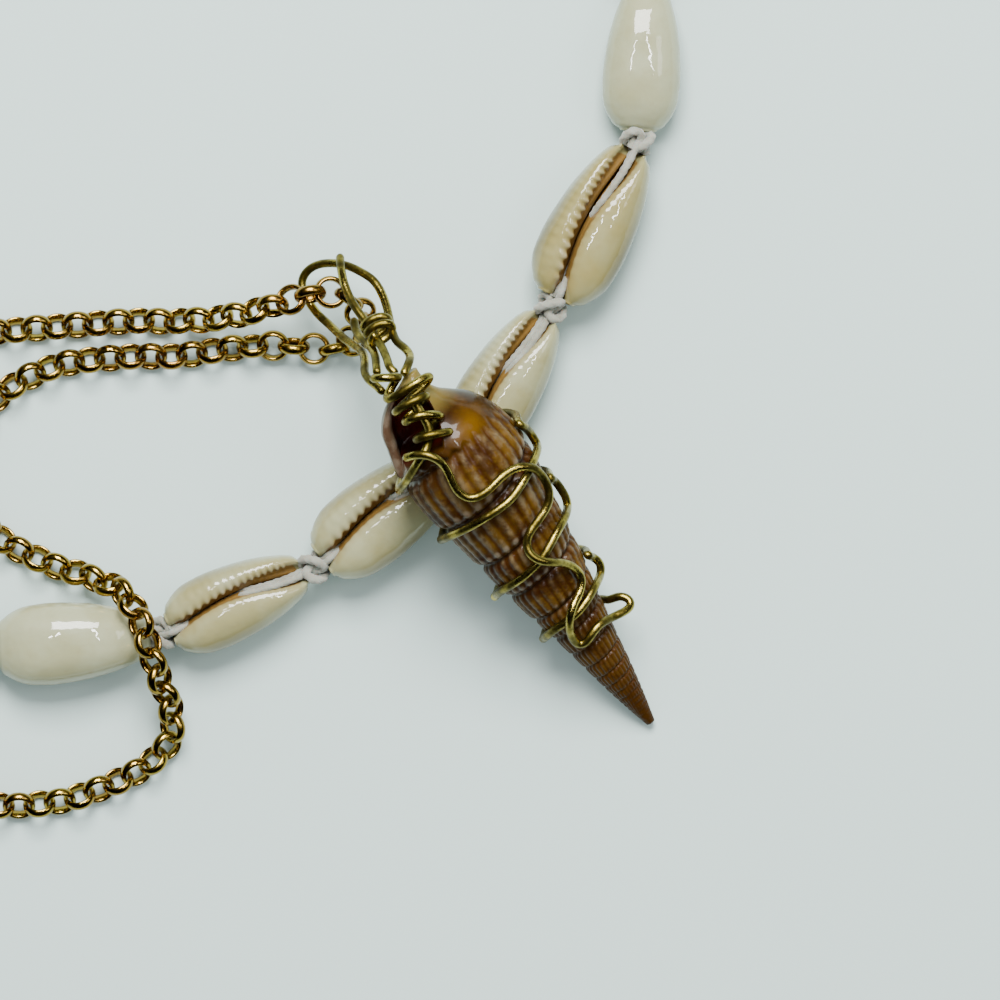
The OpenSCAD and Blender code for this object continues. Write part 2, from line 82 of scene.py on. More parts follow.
def skin(name, rings, closed=False):
    """Joins rings of points into one mesh object; closed joins the last ring to the first."""
    rings = np.asarray(rings, dtype=float)
    count, around = rings.shape[:2]
    # Faces must look outwards, so rings that run the other way round are turned over
    centres = rings.mean(axis=1)
    if closed:
        ways = np.roll(centres, -1, axis=0) - np.roll(centres, 1, axis=0)
    else:
        ways = np.gradient(centres, axis=0)
    spokes = rings - centres[:, None, :]
    turning = (np.cross(spokes, np.roll(spokes, -1, axis=1)).sum(axis=1) * ways).sum()
    flip = turning < 0
    spans = count if closed else count - 1
    first = (np.arange(spans) * around)[:, None]
    second = ((np.arange(spans) + 1) % count * around)[:, None]
    here = np.arange(around)[None, :]
    there = (here + 1) % around
    quads = np.stack([first + here, first + there, second + there, second + here], axis=-1)
    quads = quads.reshape(-1, 4)[:, ::-1] if flip else quads.reshape(-1, 4)
    faces = [quads.ravel()]
    starts = np.arange(len(quads)) * 4
    if not closed:
        ends = [np.arange(around)[::-1], (count - 1) * around + np.arange(around)]
        ends = [end[::-1] for end in ends] if flip else ends
        faces += ends
        starts = np.concatenate([starts, [len(quads) * 4, len(quads) * 4 + around]])
    loops = np.concatenate(faces)
    mesh = bpy.data.meshes.new(name)
    mesh.vertices.add(count * around)
    mesh.vertices.foreach_set("co", (rings * MM).ravel())
    mesh.loops.add(len(loops))
    mesh.loops.foreach_set("vertex_index", loops)
    mesh.polygons.add(len(starts))
    mesh.polygons.foreach_set("loop_start", starts)
    mesh.update(calc_edges=True)
    mesh.validate()
    mesh.polygons.foreach_set("use_smooth", np.full(len(mesh.polygons), True))
    piece = bpy.data.objects.new(name, mesh)
    bpy.context.scene.collection.objects.link(piece)
    return piece


def mark(piece, name, values):
    """Stores one number at each point of a piece, for its finish to read."""
    values = np.asarray(values, dtype=float).ravel()
    piece.data.attributes.new(name, "FLOAT", "POINT").data.foreach_set("value", values)


# %% [markdown]
# Smooth curves through a few places
# ----------------------------------
# A maker's drawing gives a few places and the eye fills in the curve. The same is done here:
# the smooth curve passes through every place given, and a table of widths is read smoothly
# between its rows. So a shape can be changed by changing one place in a short table.

# %% Curve helpers
def curve(places, steps):
    """A smooth curve through the places, with so many steps between two of them."""
    p = np.asarray(places, dtype=float)
    p = np.vstack([p[:1], p, p[-1:]])
    t = (np.arange(steps) / steps)[None, :, None]
    a, b, c, d = (p[k:len(p) - 3 + k, None, :] for k in range(4))
    out = 0.5 * (2 * b + (c - a) * t + (2 * a - 5 * b + 4 * c - d) * t**2
                 + (3 * b - a - 3 * c + d) * t**3)
    return np.vstack([out.reshape(-1, p.shape[1]), p[-1:]])


def travelled(path):
    """How far along the path each of its points is."""
    return np.concatenate([[0], np.cumsum(np.linalg.norm(np.diff(path, axis=0), axis=1))])


def evenly(path, count):
    """So many points along the path, an even distance apart."""
    length = travelled(path)
    at = np.linspace(0, length[-1], count)
    return np.stack([np.interp(at, length, path[:, k]) for k in range(path.shape[1])], axis=1)


def spaced(path, gap):
    """The same path with its points about a gap apart."""
    return evenly(path, max(2, int(round(travelled(path)[-1] / gap)) + 1))


def read_off(rows, x):
    """Reads a table of place and value smoothly at the places x."""
    rows = np.asarray(rows, dtype=float)
    slope = np.gradient(rows[:, 1], rows[:, 0])
    k = np.clip(np.searchsorted(rows[:, 0], x) - 1, 0, len(rows) - 2)
    x0, x1, y0, y1 = rows[k, 0], rows[k + 1, 0], rows[k, 1], rows[k + 1, 1]
    t = np.clip((x - x0) / (x1 - x0), 0, 1)
    h = x1 - x0
    return (y0 * (1 + 2 * t) * (1 - t) ** 2 + h * slope[k] * t * (1 - t) ** 2
            + y1 * t**2 * (3 - 2 * t) - h * slope[k + 1] * t**2 * (1 - t))


def ease(x, x0, x1):
    """Rises smoothly from 0 to 1 between x0 and x1."""
    t = np.clip((x - x0) / (x1 - x0), 0, 1)
    return t * t * (3 - 2 * t)


def unit(v):
    """The same directions with a length of 1."""
    return v / np.maximum(np.linalg.norm(v, axis=-1, keepdims=True), 1e-9)


print("a curve through three places has", len(curve([(0, 0), (1, 2), (3, 2)], 8)), "points")

# %% [markdown]
# A tube along a curve
# --------------------
# Cord and wire are tubes. A tube needs two directions square to its path at every point. If
# they were worked out afresh at each point the tube would twist, so they are carried along
# from one point to the next. A laid cord is the same tube with three lobes that do turn.

# %% Tubes and joined pieces
def sides_of(path):
    """Two directions square to the path at each point, carried along without a twist."""
    way = unit(np.gradient(path, axis=0))
    left = np.cross(way[0], [0, 0, 1])
    if np.linalg.norm(left) < 0.1:
        left = np.cross(way[0], [1, 0, 0])
    lefts = []
    for v in way:
        left = unit(left - v * np.dot(left, v))
        lefts.append(left)
    lefts = np.array(lefts)
    return lefts, np.cross(way, lefts)


def tube(name, path, radius, around=12, lobes=0, depth=0.0, twist=0.0):
    """A tube along a path; lobes and a twist, in turns a millimetre, make it a laid strand."""
    path = np.asarray(path, dtype=float)
    left, up = sides_of(path)
    length = travelled(path)
    radius = np.broadcast_to(np.asarray(radius, dtype=float), (len(path),))
    angle = 2 * math.pi * np.arange(around) / around
    turned = angle[None, :] - 2 * math.pi * twist * length[:, None]
    r = radius[:, None] * (1 + depth * np.cos(lobes * turned))
    ring = (path[:, None, :] + (r * np.cos(angle))[..., None] * left[:, None, :]
            + (r * np.sin(angle))[..., None] * up[:, None, :])
    return skin(name, ring[:, ::-1])


def joined(name, parts):
    """Joins several objects into one piece."""
    for other in bpy.context.selected_objects:
        other.select_set(False)
    for part in parts:
        part.select_set(True)
    bpy.context.view_layer.objects.active = parts[0]
    if len(parts) > 1:
        bpy.ops.object.join()
    parts[0].name = name
    parts[0].data.name = name
    return parts[0]


# %% [markdown]
# Finishes
# --------
# A finish is a small chain of shader nodes. Shell and metal differ mostly in three numbers:
# the colour, how rough the surface is, and whether it is metal. What makes them look real is
# how these change from place to place, so each finish mixes a few colours with soft noise.
# A picture could be wrapped round the shells instead, but noise needs no seams and is sharp
# from near by. It is read at the piece's own coordinates, so it stays put from every side.

# %% The finish helpers
class Finish:
    """One material with its main shader, and short words for the nodes that feed it."""

    def __init__(self, name, **values):
        self.material = bpy.data.materials.new(name)
        self.material.use_nodes = True
        self.tree = self.material.node_tree
        self.shader = next(n for n in self.tree.nodes if n.type == "BSDF_PRINCIPLED")
        for key, value in values.items():
            self.shader.inputs[key.replace("_", " ")].default_value = value

    def put(self, value, socket):
        """Links a node's output to a socket, or sets a plain value on it."""
        if isinstance(value, bpy.types.NodeSocket):
            self.tree.links.new(value, socket)
        else:
            socket.default_value = value

    def marked(self, name):
        """The number that mark stored at the points under this name."""
        node = self.tree.nodes.new("ShaderNodeAttribute")
        node.attribute_name = name
        return node.outputs["Fac"]

    def place(self):
        return self.tree.nodes.new("ShaderNodeTexCoord").outputs["Object"]

    def noise(self, scale, detail=3.0, rough=0.5, stretch=(1, 1, 1)):
        """Soft noise; its scale is in waves a metre, so 300 gives patches of about 3 mm."""
        node = self.tree.nodes.new("ShaderNodeTexNoise")
        node.inputs["Scale"].default_value = scale
        node.inputs["Detail"].default_value = detail
        node.inputs["Roughness"].default_value = rough
        mapping = self.tree.nodes.new("ShaderNodeMapping")
        mapping.inputs["Scale"].default_value = stretch
        self.put(self.place(), mapping.inputs["Vector"])
        self.put(mapping.outputs["Vector"], node.inputs["Vector"])
        return node.outputs["Fac"]

    def ramp(self, value, *stops):
        """Turns a number into greys or colours by stops of a place and a value."""
        node = self.tree.nodes.new("ShaderNodeValToRGB")
        marks = node.color_ramp.elements
        while len(marks) < len(stops):
            marks.new(0.5)
        for element, (at, colour) in zip(marks, stops):
            if isinstance(colour, (int, float)):
                colour = (colour,) * 3
            element.position = at
            element.color = (*colour, 1)
        self.put(value, node.inputs["Fac"])
        return node.outputs["Color"]

    def mix(self, factor, one, other):
        """Goes from one colour to the other as the factor goes from 0 to 1."""
        node = self.tree.nodes.new("ShaderNodeMix")
        node.data_type = "RGBA"
        self.put(factor, node.inputs[0])
        for value, socket in ((one, node.inputs[6]), (other, node.inputs[7])):
            self.put((*value, 1) if isinstance(value, tuple) else value, socket)
        return node.outputs[2]

    def times(self, one, other):
        """One number times another, so that a mark shows only where the other is high."""
        node = self.tree.nodes.new("ShaderNodeMath")
        node.operation = "MULTIPLY"
        self.put(one, node.inputs[0])
        self.put(other, node.inputs[1])
        return node.outputs[0]

    def bump(self, height, strength, distance):
        """Small unevenness, given to the surface and to its clear coat alike."""
        node = self.tree.nodes.new("ShaderNodeBump")
        node.inputs["Strength"].default_value = strength
        node.inputs["Distance"].default_value = distance
        self.put(height, node.inputs["Height"])
        self.put(node.outputs["Normal"], self.shader.inputs["Normal"])
        self.put(node.outputs["Normal"], self.shader.inputs["Coat Normal"])

    def feed(self, **links):
        """Links outputs to the main shader's inputs and returns the finished material."""
        for key, value in links.items():
            self.put(value, self.shader.inputs[key.replace("_", " ")])
        return self.material


def dress(piece, material):
    """Gives a piece one material in place of those it had."""
    piece.data.materials.clear()
    piece.data.materials.append(material)
    return piece


# %% [markdown]
# Where the cowries lie
# ---------------------
# The cord is knotted between every two shells, so the knots are what sets them out. Six knots
# follow the strand as it lies, and the rest are stepped evenly round a circle up to the clasp.
# Every shell is then stretched a little to fill the room between its two knots. Placing the
# shells by hand would be quicker for six of them, but not for twenty-one.

# %% Knots and shells of the strand
COWRIES = 21
LOOP_R = 81.3
COWRIE_L, COWRIE_H = 20.0, 8.5
KNOT_GAP = 2.6
BACK_UP = (1, 6)
BEFORE_CLASP = 7
SHOWN_KNOTS = [(81, 5.7), (79.7, -15.9), (68.5, -37.2), (57.1, -56.2), (38.1, -70.6), (18.4, -79.3)]
SHOWN = len(SHOWN_KNOTS) - 1
CLASP_KNOT = SHOWN + BEFORE_CLASP
STEP = 2 * math.asin((COWRIE_L + KNOT_GAP) / (2 * LOOP_R))


def knot(i):
    """Where knot i lies; the clasp sits between knot CLASP_KNOT and the next."""
    if i <= SHOWN:
        return np.array(SHOWN_KNOTS[i], dtype=float)
    if i <= CLASP_KNOT:
        a = math.atan2(SHOWN_KNOTS[-1][1], SHOWN_KNOTS[-1][0]) - (i - SHOWN) * STEP
    elif i <= COWRIES:
        a = math.atan2(SHOWN_KNOTS[0][1], SHOWN_KNOTS[0][0]) + (COWRIES + 1 - i) * STEP
    else:
        return np.array(SHOWN_KNOTS[0], dtype=float)
    return LOOP_R * np.array([math.cos(a), math.sin(a)])


def knots_of(i):
    """The two knots that cowrie i hangs between."""
    first = i - 1 if i <= CLASP_KNOT else i
    return knot(first), knot(first + 1)


def cowrie_frame(i):
    """Middle, size and directions of cowrie i: along, across and away from the floor."""
    a, b = knots_of(i)
    size = (np.linalg.norm(b - a) - KNOT_GAP) / COWRIE_L
    along = np.append(unit(b - a), 0)
    up = np.array([0, 0, 1.0])
    across = np.cross(up, along)
    middle = np.append((a + b) / 2, 0)
    if i in BACK_UP:
        across, up = -across, -up
        middle[2] = COWRIE_H * size
    return middle, size, along, across, up


STRAND = sum(np.linalg.norm(np.subtract(*knots_of(i))) for i in range(1, COWRIES + 1))
print("strand", round(STRAND), "mm of shells")

# %% [markdown]
# The form of a cowrie
# --------------------
# A cowrie is a shell rolled in on itself. What is left open is a long slit between two thick
# lips. An egg with a slit cut out of it would have hard and ragged edges, so the shell is
# drawn as a row of C-shaped sections instead. Each has an outer line from lip to lip round
# the back, and an inner line that gives the wall its thickness.
# The tables run along the shell from the narrow end at -10 to the broad end at 10.

# %% A cowrie's tables
HALF_WIDTH = [(-10, 1.3), (-9.4, 2.4), (-8.5, 3.05), (-7, 3.65), (-4, 4.5), (0, 5.1), (4, 5.25),
              (7, 4.75), (8.6, 3.85), (9.5, 3.0), (10, 1.8)]
TOP = [(-10, 6.3), (-9, 7.0), (-7, 7.8), (-4, 8.3), (0, 8.5), (4, 8.4), (7, 8.0), (9, 7.2),
       (10, 6.3)]
UNDER = [(-10, 4.0), (-9.4, 2.7), (-8.5, 2.0), (-7, 1.2), (-4, 0.3), (0, 0.0), (4, 0.2), (7, 1.0),
         (8.6, 2.0), (9.5, 2.9), (10, 3.9)]
SLIT = [(-10, 1.2), (-9, 1.35), (-7, 1.45), (-4, 1.2), (0, 0.85), (4, 0.66), (7, 0.68), (9, 0.8),
        (10, 0.95)]
SLIT_SET = [(-10, 0.1), (-7, -0.4), (-3, -0.95), (2, -1.05), (6, -0.5), (10, 0.3)]
SHELL_END = 9.7
STATIONS = 112
ARC = 32
print("each shell:", STATIONS, "sections with", 2 * ARC, "points outside and", ARC, "inside")

# %% [markdown]
# One half of a section
# ---------------------
# From inside the slit the line climbs its wall, goes over the rounded lip, across the flat
# base and down round the back. A dozen places say so for all the sections at once, because
# each number in them is a whole row along the shell.

# %% Half of the outer line
def half_lines(side, bite, w, top, low, slit, mid, teeth):
    """One half of each section's outer line; the teeth bite into the slit's edge."""
    h = top - low
    near, far = mid + side * (slit - bite * teeth), side * w
    wide = far - near
    places = [(mid + side * slit * 0.12, top - 1.9), (mid + side * slit * 0.66, top - 1.55),
              (near - side * 0.06, top - 0.7), (near, top - 0.45), (near + side * 0.26, top - 0.18),
              (near + wide * 0.3, top), (near + wide * 0.55, top - 0.03 * h),
              (near + wide * 0.8, low + 0.86 * h), (far * 0.975, low + 0.68 * h),
              (far, low + 0.5 * h), (far * 0.96, low + 0.34 * h), (far * 0.8, low + 0.17 * h),
              (far * 0.45, low + 0.035 * h), (0 * far, low)]
    lines = np.stack([np.stack([y, z], axis=-1) for y, z in places], axis=1)
    return np.stack([curve(line, 6) for line in lines])


# %% [markdown]
# Lips, wall and ends
# -------------------
# The teeth aren't only notches in the slit's edge. They run out over the base as low ridges,
# far on the toothed lip and hardly on the smooth one. For that, each point must know how far
# it is from the edge. The same distance tells the finish where the slit's ochre-brown begins,
# which is painted lighter as painted light on the slit's shaded walls.
# At both ends the wall is turned over in a rounded rim, so that it has no sharp edge.

# %% Lips, wall and ends
TOOTHED, SMOOTH = 0.3, 0.05
RIDGE = 0.07
RIM = 0.3
RIM_TURNS = np.linspace(0, math.pi / 2, 6)[1:]
# The inside is hardly seen, so every second point is enough there
INSIDE = np.round(np.linspace(0, 2 * ARC - 1, ARC)).astype(int)[::-1]


def over_the_lip(outer, slit):
    """How far over the lip each point is, and how much of the teeth's ridges is left there."""
    steps = np.cumsum(np.linalg.norm(np.diff(outer, axis=1), axis=2), axis=1)
    reach = np.concatenate([np.zeros((len(outer), 1)), steps], axis=1)
    total = reach[:, -1:]
    slit_wall = np.hypot(0.54 * slit, 0.35) + np.hypot(0.34 * slit, 0.85) + 0.26
    from_lip = np.maximum(np.minimum(reach, total - reach) - slit_wall[:, None] + 1.18, 0)
    left = np.exp(-((from_lip - 1.35) / 0.6) ** 2)
    right = 0.4 * np.exp(-((from_lip - 1.35) / 0.35) ** 2)
    return from_lip, np.where(reach > total / 2, left, right)


def outward(outer):
    """The direction out of the shell at each point of the outer lines."""
    slope = np.gradient(outer, axis=1)
    normal = -unit(np.stack([slope[..., 1], -slope[..., 0]], axis=-1))
    side = (normal * (outer - np.array([0, 4.2]))).sum(-1, keepdims=True).mean()
    return normal * np.where(side < 0, -1, 1)


def wall_ring(x, outer, inner, angle, way):
    """One ring round the wall; an angle turns the wall over towards the rim of an end."""
    centre, half = (outer + inner) / 2, (outer - inner) / 2 * math.cos(angle)
    flat = np.concatenate([centre + half, (centre - half)[INSIDE]])
    return np.column_stack([np.full(len(flat), x + way * RIM * math.sin(angle)), flat])


# %% [markdown]
# A whole cowrie
# --------------
# Now the pieces come together. Four random numbers, drawn from the shell's own seed, change
# its swelling, the set of its slit and the place of its teeth, so that no two are the same.

# %% A whole cowrie
def cowrie_rings(seed):
    """Rings of one shell in its own directions, and two marks for its finish."""
    swell = np.random.default_rng(seed).uniform(-0.25, 0.25, 4)
    x = np.linspace(-SHELL_END, SHELL_END, STATIONS)
    w = read_off(HALF_WIDTH, x) + 0.1 * swell[0] * np.cos(x / 4 + swell[1] * 8)
    top, low, slit = read_off(TOP, x), read_off(UNDER, x), read_off(SLIT, x)
    mid = read_off(SLIT_SET, x) * (1 + 0.4 * swell[2])
    # The teeth stand about 1.1 mm apart and fade out before the ends
    teeth = 0.5 + 0.5 * np.cos(2 * math.pi * (x + swell[3]) / (1.12 + 0.02 * x))
    teeth = teeth * np.exp(-np.maximum(np.abs(x) - 7.2, 0) ** 2 / 0.8)
    right, left = (half_lines(side, bite, w, top, low, slit, mid, teeth)
                   for side, bite in ((1, SMOOTH), (-1, TOOTHED)))
    outer = np.concatenate([right, left[:, -2::-1]], axis=1)
    outer = np.stack([evenly(line, 2 * ARC) for line in outer])
    from_lip, fade = over_the_lip(outer, slit)
    normal = outward(outer)
    outer = outer + normal * ((teeth - 0.45)[:, None] * fade * RIDGE)[..., None]
    # The wall thins towards the narrow end, where there is little room beside the slit
    wall = np.minimum(0.75 + 0.1 * w, 0.4 * (w - slit))[:, None]
    inner = outer - normal * wall[..., None]
    stations = [(0, turn, -1) for turn in RIM_TURNS[::-1]] + [(k, 0, 0) for k in range(STATIONS)]
    stations += [(STATIONS - 1, turn, 1) for turn in RIM_TURNS]
    rings = np.stack([wall_ring(x[k], outer[k], inner[k], turn, way) for k, turn, way in stations])
    # The lip mark is below 0 on the inside, but not where the wall shows at the ends
    from_lip = from_lip + 3 * ease(np.abs(x), 8.7, 9.5)[:, None]
    inside = np.where(np.abs(x) > 8.4, 3.0, -1.0)
    lips = np.stack([np.append(from_lip[k], np.full(ARC, inside[k])) for k, _, _ in stations])
    tooth = np.stack([np.append(teeth[k] * fade[k], np.zeros(ARC)) for k, _, _ in stations])
    return rings, lips, tooth


# %% [markdown]
# The finish of a cowrie
# ----------------------
# Cowries are polished by the animal itself, so they are as glossy as glazed china. The ones
# strung here are cream. They turn yellow to peach round the edge of the base, a real tint that
# is made darker there as painted shade on the sloping sides. The slit is ochre, painted
# lighter as painted light on its shaded walls, with a brown inside, and the backs are nearly white.
# A glossy base greys its own colour, because it mirrors the pale surroundings everywhere. So
# the base hardly mirrors, and a thin clear coat over it gives the few sharp glints.

# %% Cowrie finishes
CREAM = (0.251, 0.231, 0.103)
WHITE = (0.285, 0.282, 0.154)
# Edge colours: real margin tints, kept darker as painted shade on the sloping sides
YELLOW_RIM_AND_SHADE = (0.097, 0.071, 0.0125)
PEACH_RIM_AND_SHADE = (0.148, 0.117, 0.031)
# The slit's own ochre, painted lighter as painted light on walls that lie in shade
OCHRE_SLIT_PAINTED_LIGHT = (0.194, 0.108, 0.026)
TOOTH_PALE = (0.376, 0.331, 0.228)
INSIDE_BROWN = (0.171, 0.080, 0.0199)
SPECKS = (0.199, 0.125, 0.057)


def cowrie_finish(name, base, tint, edge, seed):
    """A shell of a base colour with patches of a tint, and another colour round its edge: a real
    margin tint, darker as painted shade on the sloping sides.
    """
    f = Finish(name, Roughness=0.35, Coat_Weight=1.0, Coat_Roughness=0.03, Subsurface_Weight=0.06,
               Subsurface_Scale=0.002, Specular_IOR_Level=0.12)
    f.shader.inputs["Subsurface Radius"].default_value = (1.0, 0.6, 0.35)
    soft = f.noise(170 + 9 * seed)
    body = f.mix(f.ramp(soft, (0.42, 0.0), (0.66, 1.0)), base, tint)
    # Round the edge of the base: a real margin tint, and painted shade on the sloping sides
    body = f.mix(f.ramp(f.marked("rim"), (0.03, 0.0), (0.6, 0.9)), body, edge)
    slit = f.ramp(f.marked("lip"), (0.0, 1.0), (0.085, 0.95), (0.125, 0.3), (0.22, 0.0))
    # Painted light: the slit walls get an ochre lighter than their shade would leave them
    body = f.mix(slit, body, OCHRE_SLIT_PAINTED_LIGHT)
    tooth = f.ramp(f.times(f.marked("tooth"), soft), (0.1, 0.0), (0.5, 0.45))
    body = f.mix(tooth, body, TOOTH_PALE)
    body = f.mix(f.ramp(f.marked("hollow"), (0.4, 0.0), (0.6, 1.0)), body, INSIDE_BROWN)
    body = f.mix(f.ramp(f.noise(900, 2), (0.62, 0.0), (0.78, 0.15)), body, SPECKS)
    f.bump(f.noise(330, 2, 0.45), 0.3, 0.0005)
    return f.feed(Base_Color=body)


cowrie_finishes = {
    "cream": cowrie_finish("cowrie_cream", CREAM, WHITE, PEACH_RIM_AND_SHADE, 1),
    "yellow": cowrie_finish("cowrie_yellow", (0.234, 0.199, 0.071), CREAM, YELLOW_RIM_AND_SHADE, 2),
    "pale": cowrie_finish("cowrie_pale", WHITE, CREAM, PEACH_RIM_AND_SHADE, 3),
    "white": cowrie_finish("cowrie_white", (0.319, 0.328, 0.199), WHITE, CREAM, 4),
}
print("cowrie finishes", ", ".join(cowrie_finishes))

# %% [markdown]
# All the cowries
# ---------------
# Each shell is made in its own directions and then laid between its two knots. Two lie with
# the back up and are whiter. The others take turns in three tints. The last mark, the rim, is
# high where a shell's upper side nears its widest line, and tints the edge of the base there:
# a real yellow margin, made darker as painted shade on the sloping sides.

# %% Make the cowries
TINTS = {1: "white", 2: "yellow", 3: "pale", 4: "pale", 5: "cream", 6: "white"}
cowries = []
for i in range(1, COWRIES + 1):
    rings, lips, tooth = cowrie_rings(i)
    middle, size, along, across, up = cowrie_frame(i)
    half_w = np.abs(rings[..., 1])
    x, y, z = rings[..., :1], rings[..., 1:2], rings[..., 2:3]
    placed = middle + size * (x * along + y * across + z * up)
    shell = skin(f"cowrie_shell_{i:02d}", placed)
    mark(shell, "lip", np.clip(lips, 0, 20) / 10)
    mark(shell, "hollow", lips < 0)
    mark(shell, "tooth", tooth)
    # The rim mark: where the real margin tint and the painted shade of the sloping sides go
    mark(shell, "rim", np.clip((half_w - 3.0) / 2.4, 0, 1) ** 2 * (rings[..., 2] > 3.2))
    dress(shell, cowrie_finishes[TINTS.get(i, ("cream", "pale", "yellow")[i % 3])])
    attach(shell, "root")
    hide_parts(f"cowrie_{i:02d}")
    cowries.append(shell)
print("cowries", len(cowries), "with", sum(len(c.data.polygons) for c in cowries) * 2, "triangles")

# %% [markdown]
# The cord
# --------
# The cord is white cotton, waxed, and runs double. Each half is three plies laid together,
# which is what its fine slanting lines come from. It lies in the slit at the narrow end of a
# shell, dives inside, comes out at the broad end and is tied off in a knot. So the path is
# written as a few places at each shell, and two strands follow it side by side.

# %% The cord's path
CORD_Z = 5.3
END_KNOT_Z = 4.2
STRAND_R = 0.43


def cord_height(i):
    """How high the cord enters cowrie i."""
    return (COWRIE_H - CORD_Z if i in BACK_UP else CORD_Z) * cowrie_frame(i)[1]


def through(i):
    """Places along the cord through cowrie i, in the part's own directions."""
    middle, size, along, across, up = cowrie_frame(i)
    rows = [(-9.9, 0.1, 5.6), (-8.6, 0.2, 6.3), (-7, 0.15, 6.9), (-5, -0.05, 7.2),
            (-3, -0.35, 7.15), (-1.4, -0.6, 6.6), (0.2, -0.6, 5.4), (2.5, -0.3, 4.4),
            (5, -0.1, 4.5), (7.2, 0.0, 5.4), (8.8, 0.15, 6.2), (9.9, 0.15, 5.6)]
    if i in BACK_UP:
        rows = [(x, y, min(z, 5.4)) for x, y, z in rows]
    return [middle + size * (x * along + y * across + z * up) for x, y, z in rows]


# %% [markdown]
# Where the cord ends
# -------------------
# At the clasp the cord goes round the ring, over and under it, and back beside itself. The
# clasp's own measures are needed for that, so they stand here.

# %% The cord at the clasp
clasp_a, clasp_b = knot(CLASP_KNOT), knot(CLASP_KNOT + 1)
CLASP_MID = (clasp_a + clasp_b) / 2
CLASP_WAY = unit(clasp_b - clasp_a)
CLASP_D, CLASP_L, RING_R, RING_WIRE = 4.5, 12.0, 2.5, 1.4
CLASP_Z = CLASP_D / 2
RING_X = CLASP_L / 2 + RING_R + 0.2
HOOK_R = RING_WIRE / 2 + 0.75
HOOK_X = RING_X + RING_R


def clasp_place(x, y, z):
    """A place along the clasp, across it and above the floor."""
    side = np.array([-CLASP_WAY[1], CLASP_WAY[0]])
    return np.append(CLASP_MID + x * CLASP_WAY + y * side, z)


def hook(s):
    """Places round one of the clasp's rings, s being 1 or -1 for its end."""
    places = [clasp_place(s * (HOOK_X + 2), 0, CLASP_Z + HOOK_R)]
    for a in range(90, 271, 36):
        a = math.radians(a)
        x, z = HOOK_X + HOOK_R * math.cos(a), CLASP_Z + HOOK_R * math.sin(a)
        places.append(clasp_place(s * x, 0, z))
    places.append(clasp_place(s * (HOOK_X + 2.2), 0, CLASP_Z - 0.9))
    return places + [clasp_place(s * (HOOK_X + 3.4), 0, CLASP_Z - 0.2)]


# %% [markdown]
# The cord from end to end
# ------------------------
# The path starts at one ring of the clasp, goes through every shell with a knot after each,
# and ends at the other ring. A knot lies halfway between the heights of its two shells.

# %% The whole path
CORD_STEP = 0.45
order = list(range(CLASP_KNOT + 1, COWRIES + 1)) + list(range(1, CLASP_KNOT + 1))
knot_places = [np.append(knot(CLASP_KNOT + 1), (END_KNOT_Z + cord_height(CLASP_KNOT + 1)) / 2)]
cord_path = hook(1) + knot_places[:1]
for n, i in enumerate(order):
    after = END_KNOT_Z if n == len(order) - 1 else cord_height(order[n + 1])
    knot_places.append(np.append(knots_of(i)[1], (cord_height(i) + after) / 2))
    cord_path += through(i) + [knot_places[-1]]
cord_path += hook(-1)[::-1]
middle_line = spaced(curve(cord_path, 8), CORD_STEP)
print("cord", round(float(travelled(middle_line)[-1])), "mm,", len(knot_places), "knots")

# %% [markdown]
# Strands and knots
# -----------------
# The two strands cross over each other now and then, as hand-tied cord does. A knot is drawn as
# a third stretch of strand that winds round the pair in three lobes, pulled tight, so that it
# shows crossing turns from above. It is a trefoil, the simplest closed line with crossings. A
# real overhand knot followed turn by turn would look much the same at this size.

# %% Make the cord
PAIR_R = 0.37
KNOT_SIZE, TIE_R = 1.4, 0.56


def strand_pair(path, phase):
    """Two lines beside the path that lean over each other now and then."""
    left, up = sides_of(path)
    length = np.arange(len(path)) * CORD_STEP
    lean = 0.5 * np.sin(length / 19 + phase) + 0.25 * np.sin(length / 5.3 + phase)
    turn = lean[:, None] + math.radians(28)
    away = np.cos(turn) * left + np.sin(turn) * up
    return [path + s * PAIR_R * away for s in (-1, 1)]


def lobed_knot(centre, way, seed, size):
    """A closed line in three lobes round a centre, turned by its seed."""
    rng = np.random.default_rng(seed)
    t = np.linspace(0, 2 * math.pi, 90)[:-1] + rng.uniform(0, 6)
    u = 2 * t + rng.uniform(0, 6)
    along = unit(np.append(way, 0))
    across = np.cross([0, 0, 1.0], along)
    r = (2 + np.cos(3 * t)) * 0.44 * size
    loop = (centre + (r * np.cos(u))[:, None] * across
            + (r * np.sin(u) * 0.95)[:, None] * np.array([0, 0, 1.0])
            + (np.sin(3 * t) * 0.85 * size)[:, None] * along)
    return np.vstack([loop, loop[:1]])


strands = [tube(f"cord_strand_{k}", line, STRAND_R, around=12, lobes=3, depth=0.15, twist=0.3)
           for k, line in enumerate(strand_pair(middle_line, 0.7))]
ties = []
for k, centre in enumerate(knot_places):
    j = int(np.argmin(np.linalg.norm(middle_line - centre, axis=1)))
    way = middle_line[min(j + 2, len(middle_line) - 1)] - middle_line[max(j - 2, 0)]
    loop = lobed_knot(centre, way[:2], 40 + k, KNOT_SIZE)
    ties.append(tube(f"cord_tie_{k}", loop, TIE_R, around=12, lobes=3, depth=0.14, twist=0.3))
cord = joined("knotted_cord", strands + ties)

# %% [markdown]
# The finish of the cord
# ----------------------
# Waxed cotton is dull, off-white and a little grey where it has been handled. Fine noise
# gives it fibres, and a little sheen the soft edge that light has on them.

